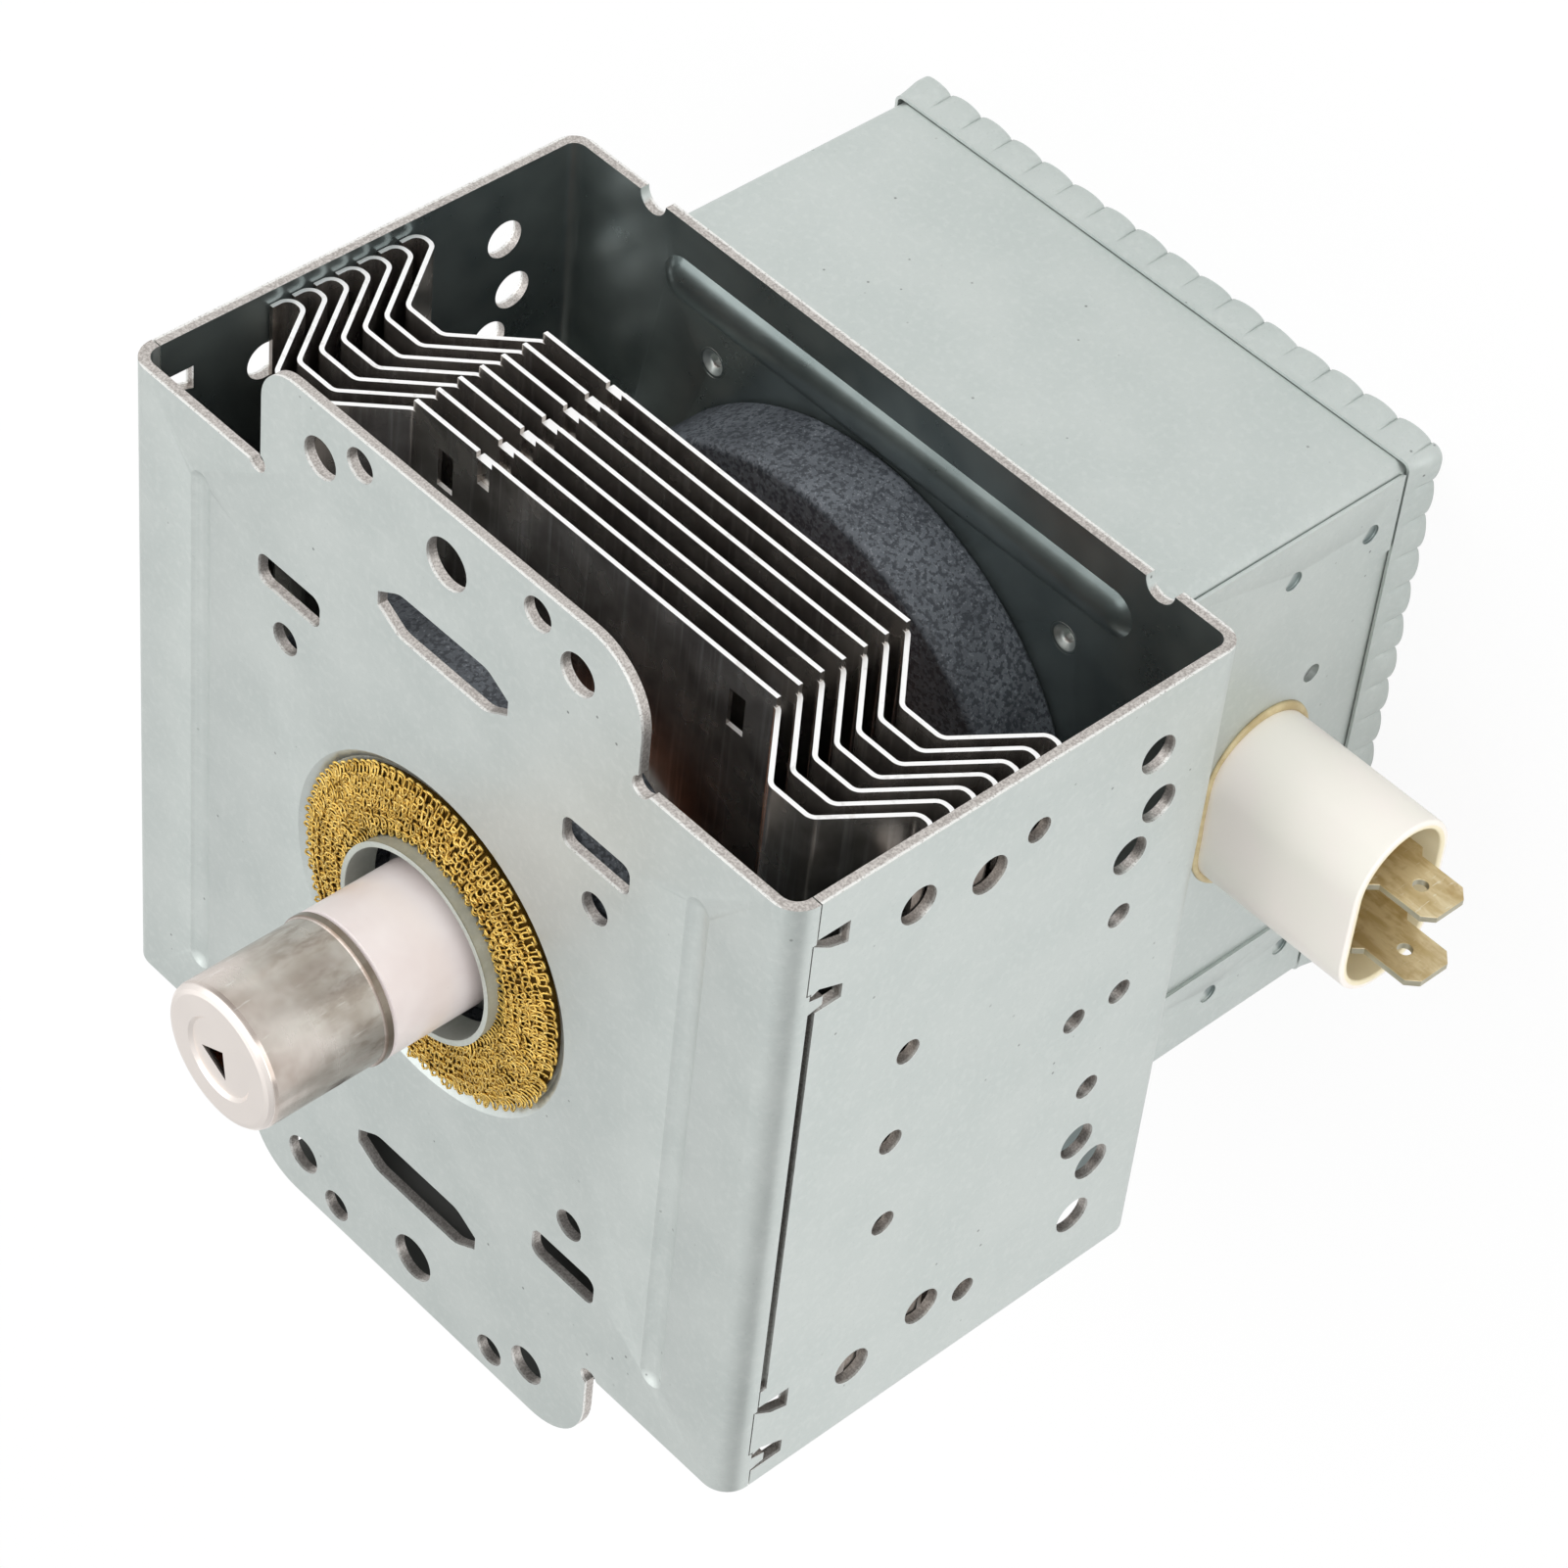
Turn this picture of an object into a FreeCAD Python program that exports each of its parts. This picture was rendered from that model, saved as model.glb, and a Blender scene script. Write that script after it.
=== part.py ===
import FreeCAD, Part
import math
import os

# Microwave-oven magnetron, in millimetres.
# Z is the tube axis and points to the antenna, Y points to the open side that shows the
# cooling fins, X points to the side that carries the terminals. The origin is on the axis,
# in the plane of the front plate's outer face, where the waveguide flange meets it.

# Yoke, a folded frame closed by a front plate
sheet = 1.2
yoke_width = 94.0
yoke_height = 83.0
yoke_depth = 57.0
frame_bend = 2.6          # outer bend radius of the frame's rear corners
plate_bend = 3.0          # outer bend radius of the front plate's wrapped edges
plate_wrap = 3.2          # how far the wrapped edges reach back
seam = 0.15               # gap between the plate's wrapped edge and the frame
seam_open = 0.9           # the same gap between the upper and the lower hooks

# Mounting tongues of the front plate, above and below the body
tongue_half = 26.5
tongue_tip = 55.0
tongue_corner_small = 4.5
tongue_corner = 7.5
root_relief = 1.2

# Holes of the front plate
mount_x = 17.9
mount_y = 48.8
mount_hole = 4.6
guide_x = 12.3
guide_y = 51.9
guide_hole = 3.7
centre_hole = 5.6
spot_x = 22.4
spot_y = 22.5
spot_hole = 3.6
vent_y = 37.8             # large vent slot
vent_half = 9.2
vent_height = 5.4
vent_taper = 3.0
vent_end = 1.8
side_slot_x = 22.0
side_slot_y = 29.2
side_slot_length = 9.2
side_slot_height = 3.8
side_slot_round = 1.2
rib_x = 35.4
rib_half = 34.5
rib_width = 3.0
rib_depth = 0.5
recess_r = 19.9
recess_depth = 0.8
recess_slope = 1.0        # how far the recess's wall leans in on its way to the floor
plate_bore = 11.0

# Hook joints between the side walls and the plate's wrapped edges
hook_head = 2.9           # depth of the hook's head behind the front face
hook_root = 7.3           # depth of the slits' far end
hook_slant = 2.2          # how much each hook leans down from head to root
hook_half = 3.2
hook_y = 33.1
hook_gap = 0.1            # between a hook's head and its notch in the plate
hook_waist = 1.5          # how far the hook is drawn in halfway along its upper side
hook_nose = 1.4           # straight run of the hook's lower side behind its head
hook_foot = 1.0
slit_height = 3.0         # below each hook
slit_narrow = 0.6         # above each hook
slit_mouth = 1.0
finger_reach = 1.7        # the plate's fingers that lie in the slits
finger_gap = 0.25
finger_lap = 0.2
finger_slant = 0.4
finger_cut = 0.6

# Side wall holes: distance behind the front face, height above the axis, diameter
wall_hole = 4.4
wall_small_hole = 2.9
wall_holes = ((16.1, 33.0), (25.3, 30.9), (45.3, 20.5), (48.2, 25.7), (46.8, 33.0))
wall_small_holes = ((31.3, 32.9), (45.3, 12.3), (17.6, 12.3))
wall_axis_holes = (47.6, 41.4, 17.0)

# Back wall of the frame
back_bore = 12.5
back_rib_y = 34.4
back_rib_half = 33.0
back_rib_width = 5.4
back_rib_height = 1.0
bite_x = 35.5
bite_r = 1.9
back_shift = 1.3          # how far all that is stamped in the back wall stands towards +X
rivet_past = 5.13         # how far the rivets stand past the rear magnet's rim
rivet_angle = 47.0
rivet_hole = 2.4
rivet_flare = 0.6         # depth and extra radius of the flare that lies in the back wall
rivet_lip = 0.25          # thickness of that flare at its mouth
rivet_bore = 1.5
rivet_dent = 1.5
rivet_rim = 1.2
rivet_head = 0.7

# Ring magnets
magnet_r = 31.8
magnet_bore = 12.2
magnet_chamfer = 0.5
magnet_thickness = 9.8

# Anode block
anode_r = 19.5
anode_wall = 2.5
vane_count = 10
vane_thickness = 2.0
vane_height = 9.5
vane_tip_r = 4.5
strap_inner_r = 5.6
strap_outer_r = 7.4
strap_thickness = 0.6
strap_gap = 0.9
pole_rim = 1.2            # thickness of a pole piece's rim
pole_bore = 4.6
pole_depth = 8.0
pole_nose_r = 6.0

# Cooling fins
fin_count = 7
fin_thickness = 0.5
fin_pitch = 2.7
fin_first = 17.75         # depth of the first fin's front face
fin_main_half = 25.5
fin_main_height = 41.1
fin_wing_height = 39.9
fin_fold_1 = 32.2
fin_fold_2 = 37.7
fin_fold_3 = 43.4
fin_rise = 7.2
fin_drop = 8.0
fin_lip_gap = 0.15        # between a fin's lip and the next fin
fin_bend = 1.0            # inner radius of the fins' folds
fin_wall_gap = 0.1
fin_collar = 1.9
fin_window_x = 20.6
fin_window_y = 35.5
fin_window_width = 2.2
fin_window_height = 4.6
fin_notch_x = 15.2        # small stepped tongue in each fin's open edges
fin_notch_width = 2.2
fin_notch_depth = 0.7
fin_tongue = 4.0
fin_step = 0.5
fin_magnet_gap = 0.5

# Cathode
coil_r = 1.95
coil_wire = 0.32
coil_turns = 8
coil_pitch = 1.15
hat_r = 3.6
hat_thickness = 1.1
lead_r = 0.75
lead_offset = 2.6

# Output side of the tube
antenna_r = 1.25
antenna_x = 9.6           # where the antenna lead stands on its vane
antenna_seat = 2.0
antenna_rise = 1.0
antenna_knee = 4.8        # height above the anode where the lead reaches the axis
antenna_hole_gap = 0.8
seal_wall = 0.6
seal_foot = 1.6           # width of each seal cup's foot ring beyond its wall
seal_cone = 1.4
seal_lip = 1.0
seal_r = 9.6
seal_neck_r = 8.0
seal_top = -1.2
ceramic_r = 8.1
ceramic_bore = 5.2
ceramic_top = 11.0
cap_r = 7.9
cap_wall = 0.5
cap_top = 25.6
cap_edge = 1.0
cap_bead = 0.25
cap_bead_height = 0.7
cap_dish_r = 4.6          # the shallow dish in the cap's end
cap_dish = 0.35
cap_hole = ((-2.9, -0.6), (0.2, 0.9), (0.7, -2.6))
exhaust_r = 3.0
exhaust_wall = 0.6
exhaust_tip = 20.5
exhaust_taper = 3.5
exhaust_pinch = 1.0
cap_fit = 0.15
collar_r = 10.9
collar_wall = 0.5
collar_top = 1.9
collar_rim = 12.6
collar_rim_thickness = 0.4
mesh_r = 18.5
mesh_inner_top = 0.1      # height of the gasket's top at the collar, and at its outer edge
mesh_outer_top = -0.35
mesh_crown = 0.5          # how far its top swells between them
mesh_round = 0.7
mesh_gap = 0.1

# Input side of the tube
stem_r = 8.6
stem_length = 12.0
stem_bore = 6.6
stem_cup_wall = 0.6
stem_cup_foot = 2.4
stem_cup_past = 2.0
stem_base = 1.6
stem_chamfer = 0.6
stem_pin_x = 3.4
stem_pin_r = 1.1
stem_pin_out = 4.0
pad_thickness = 0.4       # the metal pads that join the cathode leads to the pins
pad_half = 3.0
pad_past = 1.9
pad_lap = 0.9

# Filter box
box_half = 36.0
box_sheet = 0.8
box_depth = 36.0
box_corner = 1.6
box_bore = 13.5
strip_height = 10.6       # raised strips along the box's terminal side
strip_step = 0.4
strip_edge = 0.7          # from the strips' outer edges to the box's corners
strip_gap = 0.3           # between the strips' ends and the lid
clinch_y = 29.6
clinch_back = (20.0, 31.0)
clinch_r = 1.8
clinch_dent_r = 1.1
clinch_dent = 0.3
side_hole_y = 13.0
side_hole_back = 26.7
side_hole = 2.2
lid_fit = 0.1
lid_lap = 0.9             # how far the lid's skirt reaches over the box's side
lid_past = 3.2            # how far the lid's skirt reaches past the box's edge
lid_wall = 0.35
scallops = 16
scallop_depth = 0.6

# Feed-through capacitor and terminals
feed_back = 20.4          # the terminals' middle line, behind the yoke
sleeve_half_height = 10.9
sleeve_half_width = 6.8
sleeve_wall = 1.1
sleeve_end = 56.0
body_half_height = 12.2
body_half_width = 8.1
body_inner = 20.0
flange_grow = 3.4
flange_sheet = 0.8
tab_y = 4.6
tab_width = 6.3
tab_thickness = 0.8
tab_end = 62.4
tab_chamfer = 1.2
tab_hole = 1.6
tab_hole_back = 4.0
tab_shoulder = 8.2
tab_shoulder_end = 55.0
tab_root = 17.0
tab_fit = 0.05

# Chokes inside the filter box
core_r = 2.5
core_length = 26.0
choke_r = 3.3
choke_wire = 0.65
choke_turns = 7.5
choke_pitch = 2.1
choke_lead_out = 5.6
choke_y = 9.0
choke_lift = 1.4

# Values worked out from the sizes above
half_w = yoke_width / 2
half_h = yoke_height / 2
back_in = -(yoke_depth - sheet)
box_front = -yoke_depth
box_back = -(yoke_depth + box_depth)
front_magnet_top = -(sheet + recess_depth)
front_magnet_end = front_magnet_top - magnet_thickness
rear_magnet_end = back_in + magnet_thickness
anode_top = front_magnet_end
anode_end = rear_magnet_end
anode_mid = (anode_top + anode_end) / 2
anode_bore = anode_r - anode_wall
rivet_x = (magnet_r + rivet_past) * math.cos(math.radians(rivet_angle))
rivet_y = (magnet_r + rivet_past) * math.sin(math.radians(rivet_angle))
feed_z = yoke_depth + feed_back
choke_z = feed_z - choke_lift
side_hole_z = yoke_depth + side_hole_back
clinch_z = [yoke_depth + back for back in clinch_back]

V = FreeCAD.Vector


def box(x0, x1, y0, y1, z0, z1):
    return Part.makeBox(x1 - x0, y1 - y0, z1 - z0, V(x0, y0, z0))


def rod(r, z0, z1, x=0.0, y=0.0):
    return Part.makeCylinder(r, z1 - z0, V(x, y, z0))


def rod_x(r, x0, x1, y, z):
    return Part.makeCylinder(r, x1 - x0, V(x0, y, z), V(1, 0, 0))


def ring(outer, inner, z0, z1):
    return rod(outer, z0, z1).cut(rod(inner, z0 - 1, z1 + 1))


def face_of(points):
    closed = [V(*p) for p in points] + [V(*points[0])]
    return Part.Face(Part.makePolygon(closed))


def turned(profile):
    """A profile of (radius, z) points turned about the Z axis."""
    face = face_of([(r, 0, z) for r, z in profile])
    return face.revolve(V(0, 0, 0), V(0, 0, 1), 360)


def rounded(x0, x1, y0, y1, z0, z1, r):
    """An upright block whose four corners seen along Z have radius r."""
    block = box(x0, x1, y0, y1, z0, z1)
    edges = [e for e in block.Edges if abs(e.Vertexes[0].Z - e.Vertexes[1].Z) > 1e-6]
    return block.makeFillet(r, edges)


def stadium_x(half_y, half_z, x0, x1, z):
    """A long rounded block along X, taller in Y than it is wide in Z."""
    straight = half_y - half_z
    core = box(x0, x1, -straight, straight, z - half_z, z + half_z)
    for side in (-1, 1):
        core = core.fuse(rod_x(half_z, x0, x1, side * straight, z))
    return core.removeSplitter()


def ribbon(points, thickness):
    """The closed outline of a folded strip whose front face follows points in the XZ plane."""

    def normal(a, b):
        dx, dz = b[0] - a[0], b[1] - a[1]
        length = math.hypot(dx, dz)
        return -dz / length, dx / length

    back = []
    for i, p in enumerate(points):
        before = normal(points[i - 1], p) if i else normal(p, points[1])
        after = normal(p, points[i + 1]) if i + 1 < len(points) else before
        nx, nz = before[0] + after[0], before[1] + after[1]
        scale = 2 * thickness / (nx * nx + nz * nz)
        back.append((p[0] - nx * scale, p[1] - nz * scale))
    return points + back[::-1]


def folded_sheet(points, thickness, half_height):
    outline = ribbon(points, thickness)
    face = face_of([(x, -half_height, z) for x, z in outline])
    return face.extrude(V(0, 2 * half_height, 0))


def wire(points, r):
    """A round wire along straight runs, with a ball at each joint."""
    shape = None
    for a, b in zip(points, points[1:]):
        start = V(*a)
        span = V(*b).sub(start)
        run = Part.makeCylinder(r, span.Length, start, span)
        shape = shape.fuse(run).fuse(Part.makeSphere(r, start)) if shape else run
    return shape.removeSplitter()


def antenna_path():
    vane_top = anode_mid + vane_height / 2
    return [(antenna_x, 0, vane_top - antenna_seat), (antenna_x, 0, vane_top + antenna_rise),
            (0, 0, anode_top + antenna_knee), (0, 0, exhaust_tip - exhaust_taper)]


def slit_blocks(wall_side):
    """The slits above and below each hook, cut through a side wall."""
    x0 = min(wall_side * half_w, wall_side * (half_w - sheet)) - 1
    cuts = []
    for side in (-1, 1):
        mid = side * hook_y
        top = mid + hook_half
        upper = [(top, -hook_head), (top + slit_narrow, -hook_head),
                 (top + slit_narrow, -hook_root), (top - hook_slant, -hook_root),
                 (top - hook_waist, -(hook_head + hook_root) / 2)]
        low = mid - hook_half
        lower = [(low, -hook_head - hook_nose), (low - hook_slant + hook_foot, -hook_root),
                 (low - slit_height, -hook_root), (low - slit_height, -hook_head + slit_mouth),
                 (low - slit_mouth, -hook_head + slit_mouth)]
        for outline in (upper, lower):
            face = face_of([(x0, y, z) for y, z in outline])
            cuts.append(face.extrude(V(sheet + 2, 0, 0)))
    return cuts


def tongue(side):
    """The mounting tongue above or below the body, with its rounded outer corners."""
    root = side * (half_h - 5)
    tip = side * tongue_tip
    block = box(-tongue_half, tongue_half, min(root, tip), max(root, tip), -sheet, 0)
    for x, r in ((-tongue_half, tongue_corner_small if side > 0 else tongue_corner),
                 (tongue_half, tongue_corner)):
        edge = [e for e in block.Edges if abs(e.Vertexes[0].X - x) < 1e-6
                and abs(e.Vertexes[1].X - x) < 1e-6
                and abs(e.Vertexes[0].Y - tip) < 1e-6 and abs(e.Vertexes[1].Y - tip) < 1e-6]
        block = block.makeFillet(r, edge)
    return block


def pressed_bar(a, b, r):
    """A round bar with ball ends, the tool that presses a rib."""
    start, span = V(*a), V(*b).sub(V(*a))
    bar = Part.makeCylinder(r, span.Length, start, span)
    return bar.fuse(Part.makeSphere(r, start)).fuse(Part.makeSphere(r, V(*b))).removeSplitter()


def vent(side):
    """The wide vent slot with tapered ends."""
    h, e = vent_height / 2, vent_end / 2
    x1, x0 = vent_half, vent_half - vent_taper
    y = side * vent_y
    outline = [(-x1, y - e), (-x0, y - h), (x0, y - h), (x1, y - e),
               (x1, y + e), (x0, y + h), (-x0, y + h), (-x1, y + e)]
    block = face_of([(x, yy, -sheet - 1) for x, yy in outline]).extrude(V(0, 0, sheet + 2))
    soft = [edge for edge in block.Edges
            if abs(edge.Vertexes[0].Z - edge.Vertexes[1].Z) > 1e-6
            and abs(abs(edge.Vertexes[0].X) - x0) < 1e-6]
    return block.makeFillet(vent_taper * 0.9, soft)


def front_plate():
    r = plate_bend
    section = [(-half_w, -plate_wrap), (-half_w, 0), (half_w, 0), (half_w, -plate_wrap)]
    shape = folded_sheet(section, sheet, half_h)
    corners = [e for e in shape.Edges if abs(e.Vertexes[0].Y - e.Vertexes[1].Y) > half_h
               and abs(abs(e.Vertexes[0].X) - half_w) < 1e-6 and abs(e.Vertexes[0].Z) < 1e-6]
    shape = shape.makeFillet(r, corners)
    inner = [e for e in shape.Edges if abs(e.Vertexes[0].Y - e.Vertexes[1].Y) > half_h
             and abs(abs(e.Vertexes[0].X) - (half_w - sheet)) < 1e-6
             and abs(e.Vertexes[0].Z + sheet) < 1e-6]
    shape = shape.makeFillet(r - sheet, inner)
    for side in (-1, 1):
        shape = shape.fuse(tongue(side))
    shape = shape.removeSplitter()
    for side in (-1, 1):
        for flank in (-1, 1):
            shape = shape.cut(rod(root_relief, -sheet - 1, 1,
                                  flank * (tongue_half + root_relief * 0.4),
                                  side * (half_h + root_relief * 0.4)))
    # Fingers that reach into the side walls' slits, and notches for the hooks' heads
    for flank in (-1, 1):
        x0 = min(flank * half_w, flank * (half_w - sheet))
        for side in (-1, 1):
            low = side * hook_y - hook_half
            notch = box(x0 - 1, x0 + sheet + 1, low - hook_gap, low + 2 * hook_half + hook_gap,
                        -plate_wrap - 1, -hook_head + seam)
            shape = shape.cut(notch)
            root, tip = -plate_wrap + finger_lap, -plate_wrap - finger_reach
            upper, lower = low - finger_gap - finger_cut, low - slit_height + finger_gap
            finger = [(lower, root), (upper, root), (upper - finger_slant, tip),
                      (lower + finger_slant, tip)]
            block = face_of([(x0, y, z) for y, z in finger]).extrude(V(sheet, 0, 0))
            shape = shape.fuse(block)
    boss_end = -sheet - recess_depth
    shape = shape.fuse(rod(recess_r + sheet * 0.6, boss_end, -sheet * 0.5))
    shape = shape.cut(Part.makeCone(recess_r - recess_slope, recess_r, recess_depth,
                                    V(0, 0, -recess_depth)))
    shape = shape.cut(rod(plate_bore, boss_end - 1, 1))
    for flank in (-1, 1):
        r = (rib_width ** 2 / 4 + rib_depth ** 2) / (2 * rib_depth)
        reach = rib_half - rib_width / 2
        ends = [(flank * rib_x, end * reach, r - rib_depth) for end in (-1, 1)]
        clip = box(-half_w, half_w, -half_h, half_h, -2 * sheet, -sheet / 2)
        shape = shape.fuse(pressed_bar(*ends, r + sheet).common(clip))
        shape = shape.cut(pressed_bar(*ends, r))
    for side in (-1, 1):
        shape = shape.cut(vent(side))
        shape = shape.cut(rod(centre_hole / 2, -sheet - 1, 1, 0, side * mount_y))
        for flank in (-1, 1):
            for x, y, d in ((mount_x, mount_y, mount_hole), (guide_x, guide_y, guide_hole),
                            (spot_x, spot_y, spot_hole)):
                shape = shape.cut(rod(d / 2, -sheet - 1, 1, flank * x, side * y))
            cx, cy = flank * side_slot_x, side * side_slot_y
            shape = shape.cut(rounded(cx - side_slot_length / 2, cx + side_slot_length / 2,
                                      cy - side_slot_height / 2, cy + side_slot_height / 2,
                                      -sheet - 1, 1, side_slot_round))
    return shape.removeSplitter()


def yoke_frame():
    front = -(plate_wrap + seam)
    outer = box(-half_w, half_w, -half_h, half_h, -yoke_depth, front)
    outer = outer.makeFillet(frame_bend, [e for e in outer.Edges if
                                          abs(e.Vertexes[0].Y - e.Vertexes[1].Y) > half_h
                                          and abs(e.Vertexes[0].Z + yoke_depth) < 1e-6])
    inner = box(-half_w + sheet, half_w - sheet, -half_h - 1, half_h + 1, back_in, front + 1)
    inner = inner.makeFillet(frame_bend - sheet, [e for e in inner.Edges if
                                                  abs(e.Vertexes[0].Y - e.Vertexes[1].Y) > half_h
                                                  and abs(e.Vertexes[0].Z - back_in) < 1e-6])
    shape = outer.cut(inner)
    for flank in (-1, 1):
        x0 = min(flank * half_w, flank * (half_w - sheet))
        for side in (-1, 1):
            low = side * hook_y - hook_half
            head = box(x0, x0 + sheet, low, low + 2 * hook_half, front - 0.5, -hook_head)
            shape = shape.fuse(head)
        for cutter in slit_blocks(flank):
            shape = shape.cut(cutter)
        span = hook_y - hook_half - slit_height
        shape = shape.cut(box(x0 - 1, x0 + sheet + 1, -span, span, -plate_wrap - seam_open, 0))
        holes = [(z, y, wall_hole) for z, y in wall_holes]
        holes += [(z, y, wall_small_hole) for z, y in wall_small_holes]
        holes = [(z, s * y, d) for z, y, d in holes for s in (-1, 1)]
        holes += [(z, 0.0, wall_small_hole) for z in wall_axis_holes]
        for z, y, d in holes:
            shape = shape.cut(rod_x(d / 2, x0 - 1, x0 + sheet + 1, y, -z))
    shape = shape.cut(rod(back_bore, -yoke_depth - 1, back_in + 1))
    for side in (-1, 1):
        r = (back_rib_width ** 2 / 4 + back_rib_height ** 2) / (2 * back_rib_height)
        reach = back_rib_half - back_rib_width / 2
        ends = [(back_shift + end * reach, side * back_rib_y, back_in + back_rib_height - r)
                for end in (-1, 1)]
        clip = box(-half_w, half_w, -half_h, half_h, back_in - sheet / 2, back_in + sheet)
        shape = shape.fuse(pressed_bar(*ends, r).common(clip))
        shape = shape.cut(pressed_bar(*ends, r - sheet))
        for flank in (-1, 1):
            shape = shape.cut(rod(bite_r, -yoke_depth - 1, back_in + 1,
                                  back_shift + flank * bite_x, side * half_h))
            shape = shape.cut(rivet_shank(back_shift + flank * rivet_x, side * rivet_y))
    return shape.removeSplitter()


def rivet_shank(x, y):
    """A rivet's outside from the box's sheet to its flare, which is flush with the back wall."""
    r, flare = rivet_hole / 2, back_in - rivet_flare
    cone = Part.makeCone(r, r + rivet_flare, rivet_flare, V(x, y, flare))
    return rod(r, box_front - box_sheet, flare, x, y).fuse(cone).removeSplitter()


def magnet(z0, z1):
    c = magnet_chamfer
    return turned([(magnet_bore, z0), (magnet_r - c, z0), (magnet_r, z0 + c),
                   (magnet_r, z1 - c), (magnet_r - c, z1), (magnet_bore, z1)])


def soft_folds(shape, strip, count):
    """Rounds the folds of a fin: the outside of each by the inner radius and the sheet."""
    wide, tight = [], []
    for i in range(1, count - 1):
        (ax, az), (bx, bz), (cx, cz) = strip[i - 1], strip[i], strip[i + 1]
        turn = (bx - ax) * (cz - bz) - (bz - az) * (cx - bx)
        front, back = strip[i], strip[2 * count - 1 - i]
        for (x, z), outside in ((front, turn < 0), (back, turn > 0)):
            (wide if outside else tight).append((x, z))
    for corners, r in ((wide, fin_bend + fin_thickness), (tight, fin_bend)):
        edges = [e for e in shape.Edges if abs(e.Vertexes[0].Y - e.Vertexes[1].Y) > fin_wing_height
                 and any(math.hypot(e.Vertexes[0].X - x, e.Vertexes[0].Z - z) < 1e-4
                         for x, z in corners)]
        shape = shape.makeFillet(r, edges)
    return shape


def fin(index):
    z = -(fin_first + index * fin_pitch)
    end = half_w - sheet - fin_wall_gap - fin_thickness
    right = [(fin_main_half, z), (fin_fold_1, z + fin_rise), (fin_fold_2, z + fin_rise),
             (fin_fold_3, z + fin_rise - fin_drop), (end, z + fin_rise - fin_drop),
             (end, z + fin_rise - fin_drop + fin_pitch - fin_thickness - fin_lip_gap)]
    left = [(-x, zz) for x, zz in reversed(right)]
    strip = ribbon(left + right, fin_thickness)
    face = face_of([(x, -fin_wing_height, zz) for x, zz in strip])
    shape = soft_folds(face.extrude(V(0, 2 * fin_wing_height, 0)), strip, len(left + right))
    main = box(-fin_main_half, fin_main_half, -fin_main_height, fin_main_height,
               z - fin_thickness, z)
    shape = shape.fuse(main).fuse(ring(anode_r + fin_thickness, anode_r,
                                       z - fin_thickness, z - fin_thickness + fin_collar))
    shape = shape.cut(rod(anode_r, z - fin_rise, z + fin_rise))
    if z + fin_rise > front_magnet_end - fin_magnet_gap:
        shape = shape.cut(rod(magnet_r + fin_magnet_gap, front_magnet_end - fin_magnet_gap, 0))
    for side in (-1, 1):
        x0, x1 = -fin_notch_x - fin_notch_width / 2, -fin_notch_x + fin_notch_width / 2
        edge = side * fin_main_height
        root = edge - side * fin_notch_depth
        shape = shape.cut(box(x0, x1, min(edge, root), max(edge, root), z - fin_thickness - 1, z + 1))
        low = z - fin_thickness - fin_step
        y0, y1 = side * (fin_main_height - fin_tongue), root
        hem = box(x0, x1, min(y0, y1), max(y0, y1), low, z)
        shape = shape.fuse(hem)
        shape = shape.cut(box(x0 + fin_step / 2, x1 - fin_step / 2, min(y0, y1) + fin_step / 2,
                              max(y0, y1) - fin_step / 2, z - fin_step, z + 1))
    for flank in (-1, 1):
        for side in (-1, 1):
            cx, cy = flank * fin_window_x, side * fin_window_y
            shape = shape.cut(box(cx - fin_window_width / 2, cx + fin_window_width / 2,
                                  cy - fin_window_height / 2, cy + fin_window_height / 2,
                                  z - fin_thickness - 1, z + 1))
    return shape.removeSplitter()


def anode_cylinder():
    tube = ring(anode_r, anode_bore, anode_end, anode_top)
    for z0, z1 in ((anode_top - pole_rim, anode_top + 1), (anode_end - 1, anode_end + pole_rim)):
        tube = tube.cut(rod(anode_bore + 1.0, z0, z1))
    return tube


def anode_vanes():
    z0, z1 = anode_mid - vane_height / 2, anode_mid + vane_height / 2
    blades = []
    for k in range(vane_count):
        blade = box(vane_tip_r, anode_bore, -vane_thickness / 2, vane_thickness / 2, z0, z1)
        blade = blade.common(rod(anode_bore, z0, z1))
        for near, far in ((z1 - strap_gap, z1 + 1), (z0 - 1, z0 + strap_gap)):
            blade = blade.cut(ring(strap_outer_r + 0.3, strap_inner_r - 0.3, near, far))
        if k == 0:
            blade = blade.cut(rod(antenna_r, z1 - antenna_seat, z1 + 1, antenna_x, 0))
        blade.rotate(V(0, 0, 0), V(0, 0, 1), 360.0 * k / vane_count)
        blades.append(blade)
    return Part.makeCompound(blades)


def strap(top):
    """A flat ring that lies in the vanes' grooves and ties every second vane."""
    if top:
        floor = anode_mid + vane_height / 2 - strap_gap
        return ring(strap_outer_r, strap_inner_r, floor, floor + strap_thickness)
    floor = anode_mid - vane_height / 2 + strap_gap
    return ring(strap_outer_r, strap_inner_r, floor - strap_thickness, floor)


def pole_piece(top):
    """A dished iron disc that closes the anode and carries the field to the cathode."""
    s = 1 if top else -1
    end = anode_top if top else anode_end
    outer = anode_bore + 1.0
    tip = end - s * pole_depth
    profile = [(seal_neck_r + seal_wall, end), (outer, end), (outer, end - s * pole_rim),
               (anode_bore - 2.0, end - s * pole_rim), (pole_nose_r, tip), (pole_bore, tip),
               (pole_bore, tip + s * pole_rim), (pole_nose_r, tip + s * pole_rim)]
    shape = turned(profile)
    if top:
        shape = shape.cut(wire(antenna_path(), antenna_r + antenna_hole_gap))
    return shape


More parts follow.
